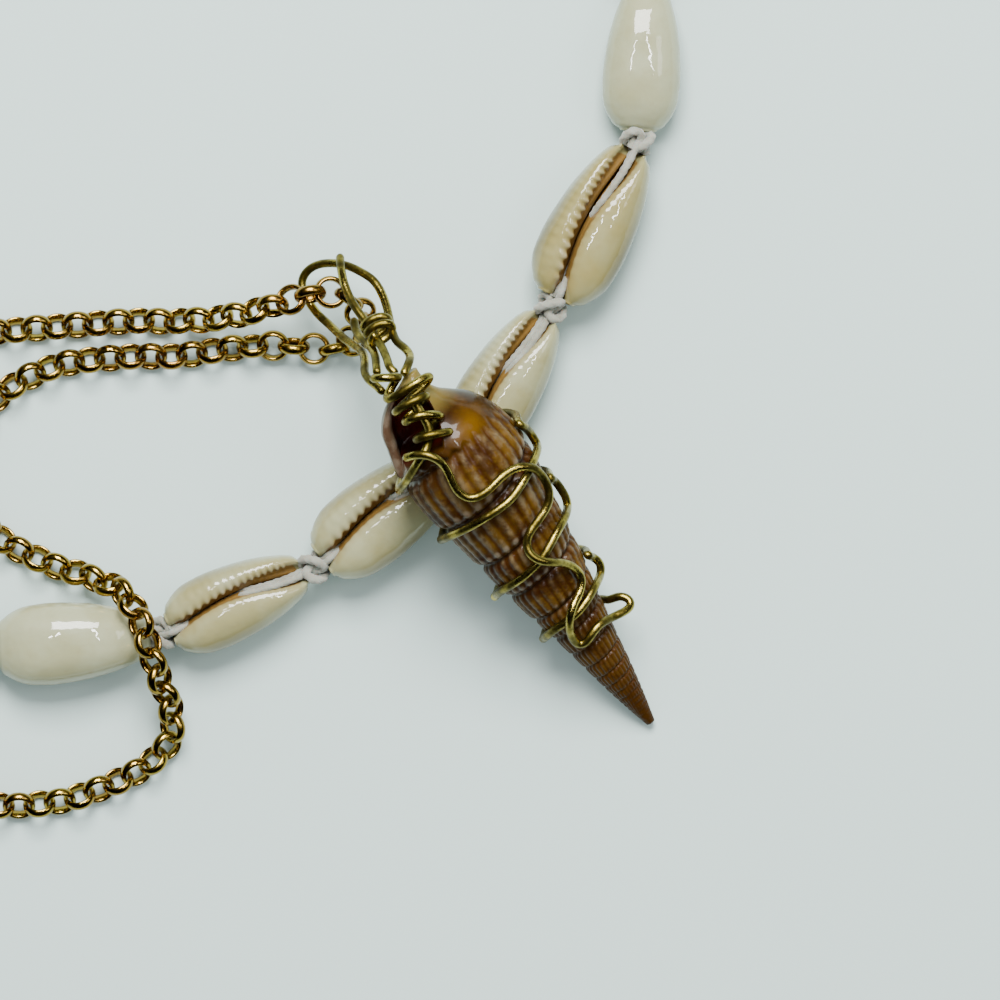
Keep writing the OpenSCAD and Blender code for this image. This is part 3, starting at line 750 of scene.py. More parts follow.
# %% Finish the cord
cord_look = Finish("waxed_cotton", Roughness=0.8, Specular_IOR_Level=0.2, Sheen_Weight=0.4,
                   Subsurface_Weight=0.15, Subsurface_Scale=0.001)
cord_look.bump(cord_look.noise(2600, 3, 0.6), 0.7, 0.0002)
handled = cord_look.ramp(cord_look.noise(420, 3, 0.6), (0.35, 0.0), (0.7, 1.0))
cotton = cord_look.mix(handled, (0.290, 0.296, 0.244), (0.191, 0.186, 0.139))
dress(cord, cord_look.feed(Base_Color=cotton))
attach(cord, "root")
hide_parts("cord")
print("cord piece", len(cord.data.polygons) * 2, "triangles")

# %% [markdown]
# The chain
# ---------
# The chain is a rolo chain: round rings of thick wire, flat on the inner side, each through two
# others and a quarter turn from them. The frame already holds every ring in its place, but as
# one mesh. So its loose solids are told apart first, by giving joined points the same label
# over and over until nothing changes. Blender can separate loose parts too, but that would
# change the frame's pieces, which are left as they are.

# %% Find the rings
PER_METRE = 1000


def loose_parts(node):
    """The points of each loose solid of a frame node, in millimetres."""
    mesh = frame["nodes"][node].data
    places = np.empty(len(mesh.vertices) * 3)
    mesh.vertices.foreach_get("co", places)
    places = places.reshape(-1, 3) * PER_METRE
    edges = np.empty(len(mesh.edges) * 2, dtype=int)
    mesh.edges.foreach_get("vertices", edges)
    edges = edges.reshape(-1, 2)
    # Points at the same place belong together, so that a seam doesn't split a ring
    same = np.unique(np.round(places, 3), axis=0, return_inverse=True)[1].ravel()
    label = np.arange(same.max() + 1)
    pairs = same[edges]
    while True:
        low = np.minimum(label[pairs[:, 0]], label[pairs[:, 1]])
        new = label.copy()
        np.minimum.at(new, pairs[:, 0], low)
        np.minimum.at(new, pairs[:, 1], low)
        new = new[new]
        if (new == label).all():
            break
        label = new
    group = label[same]
    return [places[group == g] for g in np.unique(group)]


# %% [markdown]
# A ring over each ring
# ---------------------
# The middle of a ring's points is its centre, and the direction in which they spread the
# least is its axis. That is enough to lay a smooth ring over it, with its own section: a
# rounded D, flat inside and bulging outside, where light runs along it in a band.

# %% A smooth ring
RING_BAND, RING_THICK, RING_OUTER = 1.35, 0.68, 4.3
RING_SECTION = np.array([(-0.46, 0.30), (-0.2, 0.5), (0.05, 0.44), (0.36, 0.3), (0.5, 0.0),
                         (0.36, -0.3), (0.05, -0.44), (-0.2, -0.5), (-0.46, -0.3)])


def smooth_ring(points, around=34):
    """Rings of a smooth chain ring over the points of one of the frame's rings."""
    middle = points.mean(axis=0)
    spread = np.linalg.eigh(np.cov((points - middle).T))[1]
    axis, first = spread[:, 0], spread[:, 2]
    second = np.cross(axis, first)
    r = RING_OUTER / 2 - RING_THICK / 2 + RING_THICK * RING_SECTION[:, 0]
    h = RING_BAND * RING_SECTION[:, 1]
    a = 2 * math.pi * np.arange(around) / around
    flat = np.cos(a)[:, None] * first + np.sin(a)[:, None] * second
    return middle + r[None, :, None] * flat[:, None, :] + h[None, :, None] * axis


# %% [markdown]
# Gold and the chain
# ------------------
# Polished gold mirrors all round it, so its look comes from the light more than from its
# colour. Two golds and a changing roughness keep the rings from looking cast in plastic.

# %% Make the chain
def polished_gold(name):
    """Gold that is polished in some places and a little dull in others."""
    f = Finish(name, Metallic=1.0, Roughness=0.16)
    warm = f.ramp(f.noise(120, 3, 0.55), (0.35, 0.0), (0.68, 1.0))
    gold = f.mix(warm, (0.34, 0.235, 0.037), (0.28, 0.148, 0.029))
    f.bump(f.noise(1400, 3, 0.6), 0.12, 0.00006)
    return f.feed(Base_Color=gold, Roughness=f.ramp(f.noise(700, 3, 0.6), (0.3, 0.12), (0.8, 0.34)))


gold = polished_gold("polished_gold")
for node, name in (("chain_inner", "chain_rings_inner"), ("chain_outer", "chain_rings_outer")):
    parts = [skin(f"ring_{k}", smooth_ring(points), closed=True)
             for k, points in enumerate(loose_parts(node))]
    print(node, len(parts), "rings")
    chain = joined(name, parts)
    dress(chain, gold)
    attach(chain, "root")
    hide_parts(node)

# %% [markdown]
# The clasp
# ---------
# The clasp is a plain barrel with a ring at each end, and its shape in the frame is already
# right. So nothing is built: the frame's own piece only gets the chain's gold.

# %% Finish the clasp
clasp = dress(frame["nodes"]["clasp"], polished_gold("clasp_gold"))
print("clasp", len(clasp.data.polygons), "faces of the frame's own")

# %% [markdown]
# The spiral shell
# ----------------
# The pendant is a turret shell. Its tube winds round an axis and grows at a steady rate, so
# each whorl is the same shape as the one before, only larger. That is why the seams between
# whorls are worked out with a logarithm. Rounded ribs cross every whorl, fine cords run round
# it, and a row of pale knobs sits just below each seam. The shell could be a tube wound up,
# but its tables of radius are easier to match to a real one. So it is drawn as rings square
# to its axis, and the seams, ribs, knobs and the mouth change each ring's radius.
# The axis is tilted, because the shell leans on the strand under it. Places on the shell are
# given along the axis from the thin end, across it, and away from the floor.

# %% The spiral shell's own directions
SPIRAL_L = 58.0
SPIRAL_TILT = math.radians(20.5)
AXIS_TURN = math.radians(125.4)
POINT = np.array([81.4, -90.6, 0.9])
LEVEL = math.cos(SPIRAL_TILT)
SPIRAL_WAY = np.array([math.cos(AXIS_TURN) * LEVEL, math.sin(AXIS_TURN) * LEVEL,
                       math.sin(SPIRAL_TILT)])
SPIRAL_SIDE = np.array([math.sin(AXIS_TURN), -math.cos(AXIS_TURN), 0])
SPIRAL_UP = np.cross(SPIRAL_SIDE, SPIRAL_WAY)
RIGHT_RADIUS = [(0, 0.6), (3.5, 1.4), (8, 2.3), (13.5, 3.2), (18.5, 4.1), (23.5, 5.1), (29, 6.0),
                (34.5, 6.8), (39, 7.6), (43, 8.0), (46, 7.7), (49.3, 6.7), (51, 5.6), (52.5, 4.0),
                (54, 2.4), (56, 1.3), (58, 0.9)]
LIP_RADIUS = [(0, 0.6), (3.5, 1.4), (8, 2.3), (13.5, 3.2), (18.5, 4.1), (23.5, 5.1), (29, 6.0),
              (34.5, 6.8), (39, 7.6), (43, 8.1), (46, 8.2), (51, 7.4), (54, 6.6), (56, 4.6),
              (57.2, 2.2), (58, 0.9)]
CANAL_SET = [(0, 0), (49, 0), (55, 0.4), (58, 0.9)]
WHORL_RATIO = 1.22
LAST_SUTURE = 39.8
RIBS = 26


def on_spiral(a, w, h):
    """The place so far along the shell's axis, across it and up, in the part's directions."""
    outer = np.multiply.outer
    return POINT + outer(a, SPIRAL_WAY) + outer(w, SPIRAL_SIDE) + outer(h, SPIRAL_UP)


def between(x, x0, x1, edge):
    """1 between x0 and x1, falling smoothly to 0 over an edge outside them."""
    return ease(x, x0 - edge, x0) * (1 - ease(x, x1, x1 + edge))


def outer_radius(a, turn):
    """The shell's radius without ribs: round on the right, drawn out to a lip on the left."""
    lip = ((1 - np.cos(turn)) / 2) ** 2
    return read_off(RIGHT_RADIUS, a) * (1 - lip) + read_off(LIP_RADIUS, a) * lip


wide_end = np.round(on_spiral(SPIRAL_L, 0, 0), 1)
print("spiral shell's thin end at", POINT, "and its wide end at", wide_end)

# %% [markdown]
# Whorls, ribs and knobs
# ----------------------
# For every place the code asks which whorl it is on, and how far down that whorl: 0 at the
# seam above and 1 at the seam below. From that number come the swelling of the whorl, the
# groove at the seam and the row of knobs. The ribs come from the angle round the axis. They
# are shifted from whorl to whorl, as they are on a real shell.

# %% The spiral shell's surface
RIB_HIGH, KNOB_HIGH, GROOVE_DEEP, CORD_HIGH = 0.036, 0.018, 0.034, 0.007
BASE_FROM = 48.2


def spiral_surface(a, turn):
    """Radius and marks of the shell at places along the axis and round it."""
    ground = outer_radius(a, turn)
    whorl = np.log(np.maximum(a, 1) / LAST_SUTURE) / math.log(WHORL_RATIO)
    whorl = whorl + (turn + 1.5 * math.pi) / (2 * math.pi)
    f = whorl - np.floor(whorl)
    # The ribs end in a scalloped edge where the smooth base begins
    edge = BASE_FROM + 0.24 * np.cos(RIBS * turn + 1.2)
    upper = 1 - ease(a, edge - 0.9, edge + 0.7)
    seam = np.minimum(f, 1 - f)
    groove = np.exp(-(seam / 0.055) ** 2)
    wander = 1.3 * np.sin(2 * math.pi * f) * 0.25
    ribs = 0.5 + 0.5 * np.cos(RIBS * turn + wander + 2.1 * np.floor(whorl) + 1.6 * f)
    ribs = ribs ** 0.8
    knobs = np.exp(-((f - 0.15) / 0.085) ** 2) * ribs
    cords = 0.5 + 0.5 * np.cos(2 * math.pi * 6 * f)
    base_cords = 0.5 + 0.5 * np.cos(a * 5.2)
    swell = 1 - 0.075 * upper * (2 * f - 1) ** 4
    relief = (RIB_HIGH * ribs * (1 - groove) + KNOB_HIGH * knobs - GROOVE_DEEP * groove
              + CORD_HIGH * cords * (1 - knobs))
    r = ground * swell
    r = r + ground * upper * relief
    r = r - ground * 0.018 * upper
    r = r + (1 - upper) * 0.02 * base_cords
    return r, f, ribs, knobs, groove, upper


# %% [markdown]
# The mouth is where the tube opens. Inside it the section no longer follows a circle: from the
# middle column it drops into a hollow, crosses it and rises again to a thin lip. So each ring
# there is bent between its own circle and that hollow line.

# %% The mouth
MOUTH_FROM, MOUTH_TO = 80, 174
# The hollow line, in parts of the shell's radius, from the column to the lip
HOLLOW = [(0.17, 0.98), (0.06, 0.84), (0.0, 0.5), (-0.1, 0.05), (-0.4, -0.35), (-0.70, -0.35),
          (-0.81, -0.1), (-0.845, 0.09), (-0.91, 0.155), (-0.995, 0.104)]
# Where the mouth begins along the axis, at places round the shell in degrees
MOUTH_START = [(80, 54.6), (102, 49.4), (125, 49.3), (150, 48.8), (165, 47.4), (174, 46.2)]


def mouth_bend(a, turn, ground):
    """How far the mouth is open at each place, and the hollow line's own place there."""
    degrees = np.degrees(turn)
    inside = (degrees >= MOUTH_FROM) & (degrees <= MOUTH_TO)
    line = curve(HOLLOW, 12)
    t = np.clip((degrees - MOUTH_FROM) / (MOUTH_TO - MOUTH_FROM), 0, 1)
    w, h = (np.interp(t, np.linspace(0, 1, len(line)), line[:, k]) * ground for k in (0, 1))
    start = np.interp(degrees, *np.array(MOUTH_START).T)
    return inside * ease(a - start, 0, 0.7) * (1 - ease(a, 56.3, 57.4)), w, h


# %% [markdown]
# The whole shell
# ---------------
# The rings stand closer together where there is more to show, at the mouth and the thin end.
# Nine marks go with the shell, so that its finish can tell ribs, grooves, base and mouth apart.

# %% Make the spiral shell
AROUND = 264
a = np.concatenate([np.linspace(0, 8, 40)[:-1], np.linspace(8, 47, 232)[:-1],
                    np.linspace(47, SPIRAL_L, 86)])
turn = 2 * math.pi * np.arange(AROUND) / AROUND
A, T = np.meshgrid(a, turn, indexing="ij")
r, f, ribs, knobs, groove, upper = spiral_surface(A, T)
mouth, hollow_w, hollow_h = mouth_bend(A, T, r)
lip_edge = (between(A, 46, 57, 0.6)
            * between(T, math.radians(151), math.radians(200), math.radians(3)))
# Painted glow: a fixed amber spot where light comes through the shell
painted_glow = np.exp(-((A - 49.6) / 1.7) ** 2 - ((T - math.radians(62)) / 0.38) ** 2)
across = (1 - mouth) * r * np.cos(T) + mouth * hollow_w + np.interp(A, *np.array(CANAL_SET).T)
height = (1 - mouth) * r * np.sin(T) + mouth * hollow_h
spiral = skin("spiral_shell_body", on_spiral(A, across, height))
spiral_marks = {"whorl": f, "rib": ribs, "knob": knobs * upper * ease(A, 8, 32),
                "groove": groove * upper, "mouth": mouth, "upper": upper,
                "along": A / SPIRAL_L, "lip_edge": lip_edge, "painted_glow": painted_glow}
for word, values in spiral_marks.items():
    mark(spiral, word, values)
print("spiral shell", len(spiral.data.polygons) * 2, "triangles")

# %% [markdown]
# The finish of the spiral shell
# ------------------------------
# The ribs are brown to red-brown in patches, with yellow-brown bands round the whorls and
# paler crests on some of the ribs, partly their own pale tan and partly a painted highlight on
# the rib tops, more towards the wide end. The grooves are darkest and the knobs pale. Each step
# lays one more colour over the last, where a mark and a noise both say so. The noise matters
# most: with the marks alone the shell looks turned on a lathe.

# %% Colour the ribs
look = Finish("spiral_shell_finish", Roughness=0.3, Coat_Weight=0.35, Coat_Roughness=0.05,
              Specular_IOR_Level=0.08, Subsurface_Weight=0.05, Subsurface_Scale=0.0015)
patch = look.noise(150, 4, 0.6)
small_patch = look.noise(520, 3, 0.6)
streak = look.noise(330, 4, 0.6, (1.6, 1.0, 0.6))
stain = look.noise(210, 4, 0.65, (1.0, 1.3, 0.8))


def marked(name, *stops):
    """A mask from one of the shell's marks."""
    return look.ramp(look.marked(name), *stops)


brown = look.mix(look.ramp(patch, (0.38, 0.0), (0.6, 1.0)),
                 (0.033, 0.0127, 0.0011), (0.072, 0.036, 0.0044))
yellow_band = look.times(marked("whorl", (0.22, 0.0), (0.42, 0.65), (0.62, 0.65), (0.76, 0.0)),
                         small_patch)
brown = look.mix(yellow_band, brown, (0.125, 0.062, 0.004))
brown = look.mix(marked("whorl", (0.68, 0.0), (0.92, 0.6)), brown, (0.042, 0.012, 0.0014))
# Paler crests: the ribs' own tan, and a painted highlight on their tops towards the wide end
crest_and_highlight = look.times(marked("rib", (0.45, 0.0), (0.95, 1.0)),
                   look.ramp(streak, (0.40, 0.08), (0.62, 1.0)))
crest_and_highlight = look.times(crest_and_highlight, marked("along", (0.15, 0.35), (0.6, 1.0)))
brown = look.mix(crest_and_highlight, brown, (0.118, 0.083, 0.040))
brown = look.mix(marked("rib", (0.05, 0.8), (0.4, 0.0)), brown, (0.041, 0.0138, 0.0017))
brown = look.mix(look.ramp(stain, (0.49, 0.0), (0.62, 0.8)), brown, (0.022, 0.0052, 0.0008))
brown = look.mix(marked("knob", (0.3, 0.0), (0.8, 0.5)), brown, (0.187, 0.154, 0.110))
brown = look.mix(marked("groove", (0.45, 0.0), (0.95, 0.7)), brown, (0.0165, 0.0055, 0.0022))

# %% [markdown]
# Base, mouth and ends
# --------------------
# The base is smooth and honey-brown, with one painted glow: an amber spot where light comes
# through. The thin end is a plain red-brown, worn smooth. At the other end the canal is pale,
# the mouth goes to a red that is nearly black, and its lip has a pale and dirty edge. Only the
# smooth base has much of a coat.

# %% Colour the base, the mouth and the ends
base = look.mix(look.ramp(patch, (0.44, 0.0), (0.66, 1.0)),
                (0.020, 0.0072, 0.0007), (0.062, 0.026, 0.0015))
# Painted glow of light coming through, at the amber spot
base = look.mix(marked("painted_glow", (0.1, 0.0), (0.9, 0.8)), base, (0.098, 0.044, 0.0018))
whole = look.mix(marked("upper", (0.25, 0.0), (0.8, 1.0)), base, brown)
whole = look.mix(marked("along", (0.08, 0.9), (0.42, 0.0)), whole, (0.034, 0.0121, 0.0008))
whole = look.mix(marked("along", (0.90, 0.0), (0.95, 0.9)), whole, (0.165, 0.125, 0.030))
deeper = look.ramp(patch, (0.4, 0.0), (0.62, 1.0))
deep_red = look.mix(deeper, (0.040, 0.0035, 0.0015), (0.008, 0.0012, 0.0006))
whole = look.mix(marked("mouth", (0.1, 0.0), (0.5, 1.0)), whole, deep_red)
dirt = look.ramp(small_patch, (0.4, 0.0), (0.6, 1.0))
lip_pale = look.mix(dirt, (0.072, 0.041, 0.022), (0.132, 0.099, 0.066))
whole = look.mix(marked("lip_edge", (0.3, 0.0), (0.7, 0.9)), whole, lip_pale)
whole = look.mix(look.ramp(small_patch, (0.6, 0.0), (0.8, 0.15)), whole, (0.138, 0.105, 0.066))
look.bump(small_patch, 0.15, 0.0001)
dress(spiral, look.feed(Base_Color=whole, Coat_Weight=marked("upper", (0.0, 0.2), (0.5, 0.08))))
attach(spiral, "root")
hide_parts("spiral_shell")
print("spiral shell finish", len(look.tree.nodes), "nodes")

# %% [markdown]
# The brass wires
# ---------------
# One long wire was bent by hand: a core and a coil at the shell's neck, then turns round the
# shell to its thin end and a winding run back along the front. Three more wires make the bail
# on the chain. They could be drawn as free curves, but then they would sink into the shell or
# float above it. So a place seen from above is given, and its height is worked out from the
# shell's own radius. Where two wires cross, the upper one is lifted by a wire's thickness.

# %% Places on the shell
WIRE_D = 1.0
WIRE_GAP = 0.22
CROSSING = WIRE_D + 0.15


def seat_radius(a, turn):
    """How far from the axis the middle of a wire lies that rests on the shell."""
    return outer_radius(a, turn) + 0.14 + WIRE_GAP + WIRE_D / 2


def true_place(seen, h):
    """The place along the tilted axis of what is seen so far along from above."""
    return (seen + h * math.sin(SPIRAL_TILT)) / math.cos(SPIRAL_TILT)


def over(seen, w, lift=0.0):
    """A place on the upper side, seen at so far along and so far across."""
    place = seen / math.cos(SPIRAL_TILT)
    for _ in range(3):
        radius = seat_radius(place, math.radians(45 if w > 0 else 135)) + lift
        h = math.sqrt(max(0.04, radius * radius - w * w))
        place = true_place(seen, h)
    return [place, w, h]


def over_rows(rows):
    """Rests a smooth curve on the shell's upper side."""
    return [over(*row) for row in curve(rows, 4)]


def seen_rows(rows):
    """A smooth curve whose heights are given."""
    return [[true_place(s, h), w, h] for s, w, h in curve(rows, 4)]


def under_rows(left, right, n):
    """Takes the wire round the shell's underside, from its left to its right side."""
    rows = []
    for k in range(1, 2 * n):
        t = k / (2 * n)
        a, turn = left + (right - left) * ease(t, 0, 1), math.pi * (1 + t)
        radius = seat_radius(a, turn)
        rows.append([a, radius * math.cos(turn), radius * math.sin(turn)])
    return rows


print("wire of", WIRE_D, "mm, seated", WIRE_GAP, "mm off the shell")

# %% [markdown]
# The bends of the wires
# ----------------------
# These short tables are the maker's bends, in millimetres. The wire wrapped round the shell
# is given in the order in which it was bent: the core in the mouth, three turns, the small
# loop at their end, and the winding run back along the front. The bail's wires hang free of
# the shell, so their places are given in the part's own directions.

# %% The wires' paths
CORE = [(51.9, -1, 3.8), (51, -0.9, 4.2), (49.2, -1, 4.7), (47.5, -1.2, 5.1), (46.3, -1.6, 5.4)]
TAIL = [(45, -3.4), (44.5, -4.8), (43.9, -6.2), (43.3, -7.8), (43, -8.9)]
FIRST_TURN = [(41, 8.3), (39.9, 8.8), (38.5, 8.8), (37.2, 8.5), (35.8, 6.6), (34.8, 4.6),
              (33.9, 2.2), (33.7, 0), (33.8, -2.2), (34, -4.4), (34.4, -6.7), (34.8, -8.4)]
SECOND_TURN = [(33.1, 7.6), (32.3, 7.9), (31.2, 7.9), (29.6, 7.7), (28.2, 6.6), (26.8, 3.8),
               (25.5, 1), (24.9, -2), (24.9, -4.2), (25, -6), (24.8, -7.2)]
THIRD_TURN = [(22.3, 5.8), (21.3, 6.4), (20.2, 6.4), (19, 5.2), (17.4, 1.6), (17, -0.8), (17, -3.4),
    (16.8, -5.2)]
END_LOOP = [(15.6, 6.2, 0.4), (14.6, 6.9, 0.8), (13.7, 6.5, 1.4), (13.7, 5.2, 2.2)]
FRONT_RUN = [(14, 3.6, 0), (14.2, 2, 0), (13.8, 0.4, 0), (13.3, -0.9, 0), (13.9, -1.9, 0),
             (15.6, -1.7, 0.6), (17, -0.8, 1), (18.2, 0.6, 0.6), (19, 2.1, 0), (20.1, 3.3, 0),
             (21.6, 3.6, 0), (23.2, 2.8, 0.2), (24.3, 1.5, 0.9), (25.4, 0.4, 1), (26.7, -0.1, 0.6),
             (28.1, 0.3, 0), (29, 1.4, 0), (29.6, 3.1, 0), (30.3, 4.9, 0.4), (31.2, 6.1, 0.9),
             (32.4, 6.7, 1), (33.8, 6.9, 1), (35.3, 6.6, 1), (36.3, 5.6, 0.7), (36.8, 4.2, 0.2),
             (36.8, 2.6, 0), (36.5, 0.8, 0), (36.4, -0.9, 0), (36.9, -2.2, 0), (38.2, -2.9, 0),
             (39.6, -2.9, 0), (41, -2.6, 0), (42.3, -2.5, 0.2), (43.7, -2.9, 0.9), (44.8, -3.8, 1),
             (45.5, -4.9, 1), (45.8, -6, 0.8)]
COIL = [(56.4, -3.5, 1.4), (56, -2.8, 2.6), (55.3, -1.8, 3), (54.7, -0.7, 2.4), (54.6, -1.2, 1.2),
        (53.8, -2.8, 1.2), (53.2, -3.6, 2.2), (52.9, -2.4, 3.6), (52.8, -0.5, 4.2), (52.7, 1.4, 4),
        (52.5, 2.6, 3), (52.1, 2, 2.3), (51.8, 0, 2.8), (51.4, -2.4, 2.8), (51.2, -3.7, 3.4),
        (51.3, -2.6, 4.9), (51, -0.7, 5.4), (50.7, 0.8, 4.6), (50.4, 0, 3.2), (50, -2, 3.1),
        (49.5, -3.4, 4.2), (49.4, -2.4, 5.6), (48.9, -0.9, 6), (47.6, 0.8, 5.3), (47.3, 0, 3.9),
        (47, -2, 3.8), (46.9, -3.5, 5.1), (46.7, -2.7, 6.7), (46.1, -1.2, 7), (45.3, 0.5, 6.3),
        (45.2, 0.6, 5.6)]
BAIL_LOOP = [(49.7, -46.2, 22.7), (50.3, -45, 21.9), (50.6, -43.7, 19.6), (49.9, -42.7, 18.4),
             (48.9, -41.9, 17), (48.3, -40.6, 15.6), (47.9, -38.9, 13.6), (47.5, -37.2, 12.4),
             (46.9, -35.6, 11.4), (45.8, -33.9, 10.4), (44, -32.7, 9.2), (42.2, -31.9, 7.8),
             (40.4, -31.6, 6.4), (38.5, -31.8, 5.2), (37.1, -32.7, 4.5), (36.5, -34.1, 4.2),
             (37, -35.8, 4.4), (38.4, -37.9, 5.3), (40.2, -39.6, 6.8), (41.9, -41.2, 9.2),
             (43.3, -42.2, 11.4), (44.5, -43.2, 13.8), (44.8, -44.4, 16), (44.8, -45.8, 18),
             (45.4, -46.8, 19.6), (46.4, -47.6, 20.6), (47.2, -48.4, 21.4)]
BAIL_STRAND = [(41.5, -30.7, 7.9), (41.6, -32, 9.4), (42, -34, 11), (42.8, -36.1, 12.2),
               (43.8, -37.8, 13.6), (45, -39.4, 14.6), (46, -41, 16.2), (47, -42.6, 18),
               (47.7, -44.2, 19.8), (48, -45.2, 21), (48.9, -46, 21.4)]
BAIL_STAY = [(43.3, -38.9, 10.2), (43.7, -40.6, 12), (44.9, -41.9, 14.4), (46, -43.2, 17),
             (46.3, -44.8, 19), (46.4, -46, 20.2)]
front_run = [over(s, w, lift * CROSSING) for s, w, lift in curve(FRONT_RUN, 4)]
wrap_rows = (seen_rows(CORE) + over_rows(TAIL) + under_rows(45.4, 44.6, 12)
             + over_rows(FIRST_TURN) + under_rows(36.8, 35.8, 11)
             + over_rows(SECOND_TURN) + under_rows(26.4, 24, 10)
             + over_rows(THIRD_TURN) + under_rows(17.8, 16.8, 8)
             + seen_rows(END_LOOP) + front_run)
wrap_path = on_spiral(*np.array(wrap_rows).T)
coil_path = on_spiral(*np.array(seen_rows(COIL)).T)
print("wrapping wire", round(float(travelled(wrap_path)[-1])), "mm")

# %% [markdown]
# Aged brass
# ----------
# Old brass is dark and greenish, and bright only where it was rubbed. One noise decides both
# the colour and the roughness, because a rubbed place is brighter and smoother at once.

# %% Finish of the wires
aged = Finish("aged_brass", Metallic=1.0, Roughness=0.34)
worn = aged.ramp(aged.noise(260, 4, 0.62), (0.40, 0.0), (0.62, 1.0))
brass = aged.mix(worn, (0.095, 0.072, 0.011), (0.40, 0.31, 0.065))
flecks = aged.ramp(aged.noise(900, 3, 0.6), (0.56, 0.0), (0.70, 0.6))
brass = aged.mix(flecks, brass, (0.025, 0.0198, 0.0037))
aged.bump(aged.noise(800, 4, 0.65), 0.6, 0.00018)
aged_brass = aged.feed(Base_Color=brass, Roughness=aged.ramp(worn, (0.0, 0.4), (1.0, 0.2)))
print("aged brass", len(aged.tree.nodes), "nodes")

# %% [markdown]
# Bending the wires
# -----------------
# Drawn wire can't make a sharp kink, so each path is rounded off a little before it becomes a
# tube. The tube is a tenth thicker than in the frame, and its cut ends are slightly rounded.

# %% Make the wires
WIRE_R = 0.55 * WIRE_D
CUT_END = 0.72


def soft_path(path, passes=3):
    """Rounds off small kinks, as drawn wire does, with the ends kept."""
    path = spaced(path, 0.35)
    for _ in range(passes):
        path[1:-1] = 0.25 * path[:-2] + 0.5 * path[1:-1] + 0.25 * path[2:]
    return path


def brass_wire(name, path, node=None):
    """A wire along a path, in the place of the frame's node if it has one."""
    path = soft_path(np.asarray(path, dtype=float))
    thick = np.ones(len(path))
    thick[0] = thick[-1] = CUT_END
    piece = dress(tube(name, path, WIRE_R * thick, around=18), aged_brass)
    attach(piece, "root")
    if node:
        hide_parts(node)
    return piece


wires = [brass_wire("wrapping_wire", wrap_path, "wrap_wire"),
         brass_wire("neck_coil_wire", coil_path, "neck_coil"),
         brass_wire("bail_loop_wire", curve(BAIL_LOOP, 5), "bail_loop"),
         brass_wire("bail_strand_wire", curve(BAIL_STRAND, 5), "bail_strand"),
         brass_wire("bail_stay_wire", curve(BAIL_STAY, 5), "bail_stay")]

# %% [markdown]
# The small coil on the bail
# --------------------------
# A short end of wire is coiled round the bail's strand and its outer leg. It is thin trim
# that the frame leaves out, so it stands in the place of no node.

# %% The small coil
SMALL_COIL_MID = np.array([46.6, -40.3, 15.6])
SMALL_COIL_WAY = unit(np.array([0.35, -0.62, 0.70]))
SMALL_COIL_L, SMALL_COIL_WIDE, SMALL_COIL_HIGH, SMALL_COIL_TURNS = 3.0, 1.75, 1.1, 2.2
coil_side = unit(np.cross(SMALL_COIL_WAY, [0, 0, 1.0]))
coil_up = np.cross(coil_side, SMALL_COIL_WAY)
t = np.linspace(0, 1, 60)
turns = 2 * math.pi * SMALL_COIL_TURNS * t
small_coil = (SMALL_COIL_MID + ((t - 0.5) * SMALL_COIL_L)[:, None] * SMALL_COIL_WAY
              + (np.cos(turns) * SMALL_COIL_WIDE)[:, None] * coil_side
              + (np.sin(turns) * SMALL_COIL_HIGH)[:, None] * coil_up)
wires.append(brass_wire("bail_small_coil", small_coil))
print("wires", len(wires), "with", sum(len(wire.data.polygons) for wire in wires) * 2, "triangles")

# %% [markdown]
# The floor
# ---------
# The necklace lies on a plain floor that looks nearly white, with a touch of blue. It isn't
# painted as pale as it looks. With a darker floor and stronger light the shadows keep their
# depth, because less light is thrown back up into them.

# %% Floor
bpy.ops.mesh.primitive_plane_add(size=4, location=(0, 0, 0))
floor = bpy.context.object
floor.name = "floor"
pale = Finish("pale_floor", Roughness=0.7)
pale.shader.inputs["Base Color"].default_value = (0.47, 0.59, 0.55, 1)
dress(floor, pale.material)
print("floor", tuple(floor.dimensions[:2]), "m")

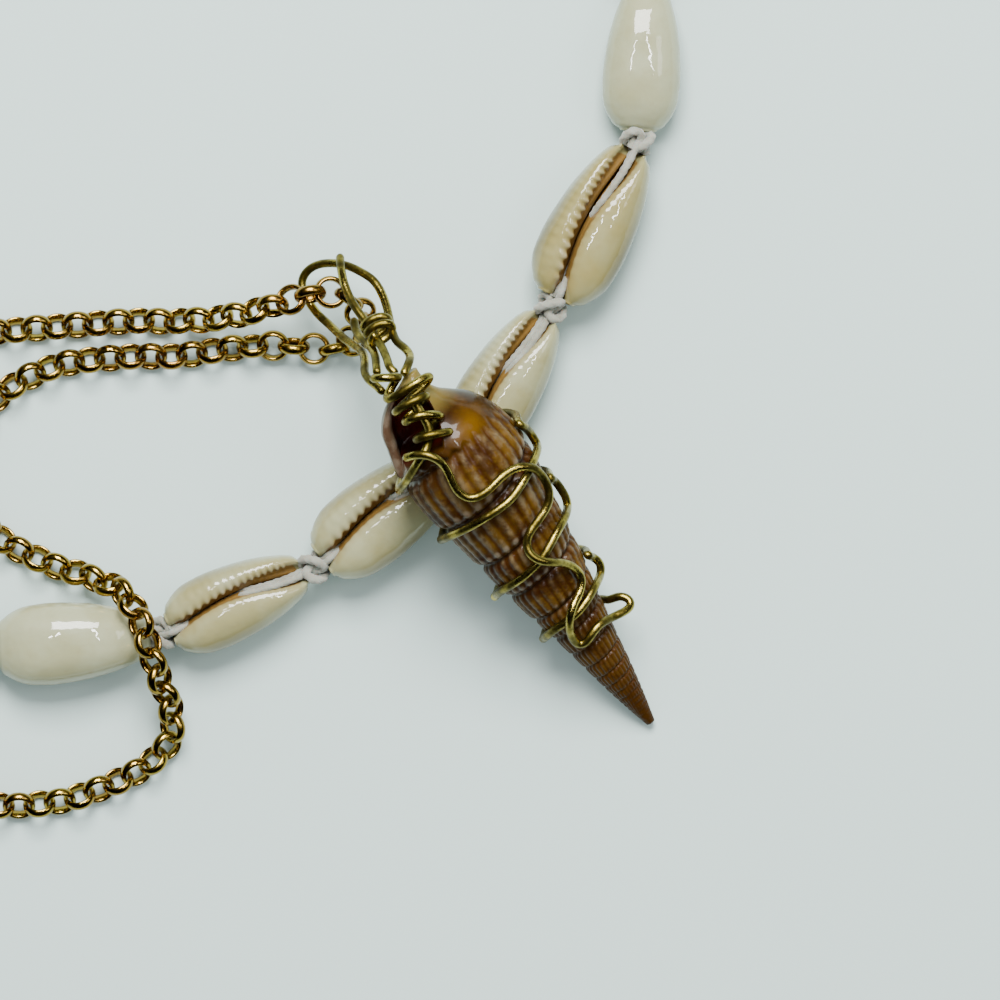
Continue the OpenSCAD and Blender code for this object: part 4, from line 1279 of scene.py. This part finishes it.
# %% [markdown]
# The light
# ---------
# The main light is a wide window on the far side of the table, which is the top of the
# picture, so the shadows fall towards the viewer and have soft edges. A weak softbox stands
# on the right. Two narrow lamps are there for the glints alone: only mirroring surfaces see
# them, and they light nothing. The pale room fills the shadows, and is itself kept out of
# the reflections, because it would lay a grey veil over every dark and glossy surface.

# %% Lights
TARGET = (0.06, -0.06, 0)
# Place and size in metres, power in watts, and whether the lamp is for glints alone
LAMPS = {"window": ((0.04, 0.42, 0.70), (0.42, 0.42), 19.5, False),
         "right_softbox": ((0.52, 0.05, 0.60), (0.24, 0.24), 1.0, False),
         "right_glint": ((0.24, 0.06, 0.85), (0.30, 0.025), 1.7, True),
         "left_glint": ((-0.12, 0.06, 0.85), (0.14, 0.02), 0.8, True)}


def area_light(name, place, aim, size, power):
    """A rectangular lamp that hangs at a place and faces what it aims at."""
    lamp = bpy.data.lights.new(name, "AREA")
    lamp.shape = "RECTANGLE"
    lamp.size, lamp.size_y = size
    lamp.energy = power
    holder = bpy.data.objects.new(name, lamp)
    holder.location = place
    holder.rotation_euler = (Vector(aim) - Vector(place)).to_track_quat("-Z", "Y").to_euler()
    bpy.context.scene.collection.objects.link(holder)
    return holder


for name, (place, size, power, glint) in LAMPS.items():
    area_light(name, place, TARGET, size, power).visible_diffuse = not glint
world = bpy.data.worlds.new("room")
bpy.context.scene.world = world
world.cycles_visibility.glossy = False
world.use_nodes = True
background = world.node_tree.nodes["Background"]
background.inputs["Color"].default_value = (0.90, 0.95, 1.0, 1)
background.inputs["Strength"].default_value = 0.86
print("lights", ", ".join(LAMPS))

# %% [markdown]
# The camera
# ----------
# The picture was taken from straight above and shows a square of 129 mm of the necklace. The
# camera stands far off with a long lens, which keeps what is tall from leaning outwards.

# %% Camera
VIEW_WIDTH = 0.129
CAMERA_HEIGHT = 1.2
SENSOR = 36.0
lens = bpy.data.cameras.new("camera")
lens.sensor_width = SENSOR
lens.lens = SENSOR * CAMERA_HEIGHT / VIEW_WIDTH
camera = bpy.data.objects.new("camera", lens)
camera.location = (0.062, -0.062, CAMERA_HEIGHT)
bpy.context.scene.collection.objects.link(camera)
bpy.context.scene.camera = camera
print("camera with a lens of", round(lens.lens), "mm")
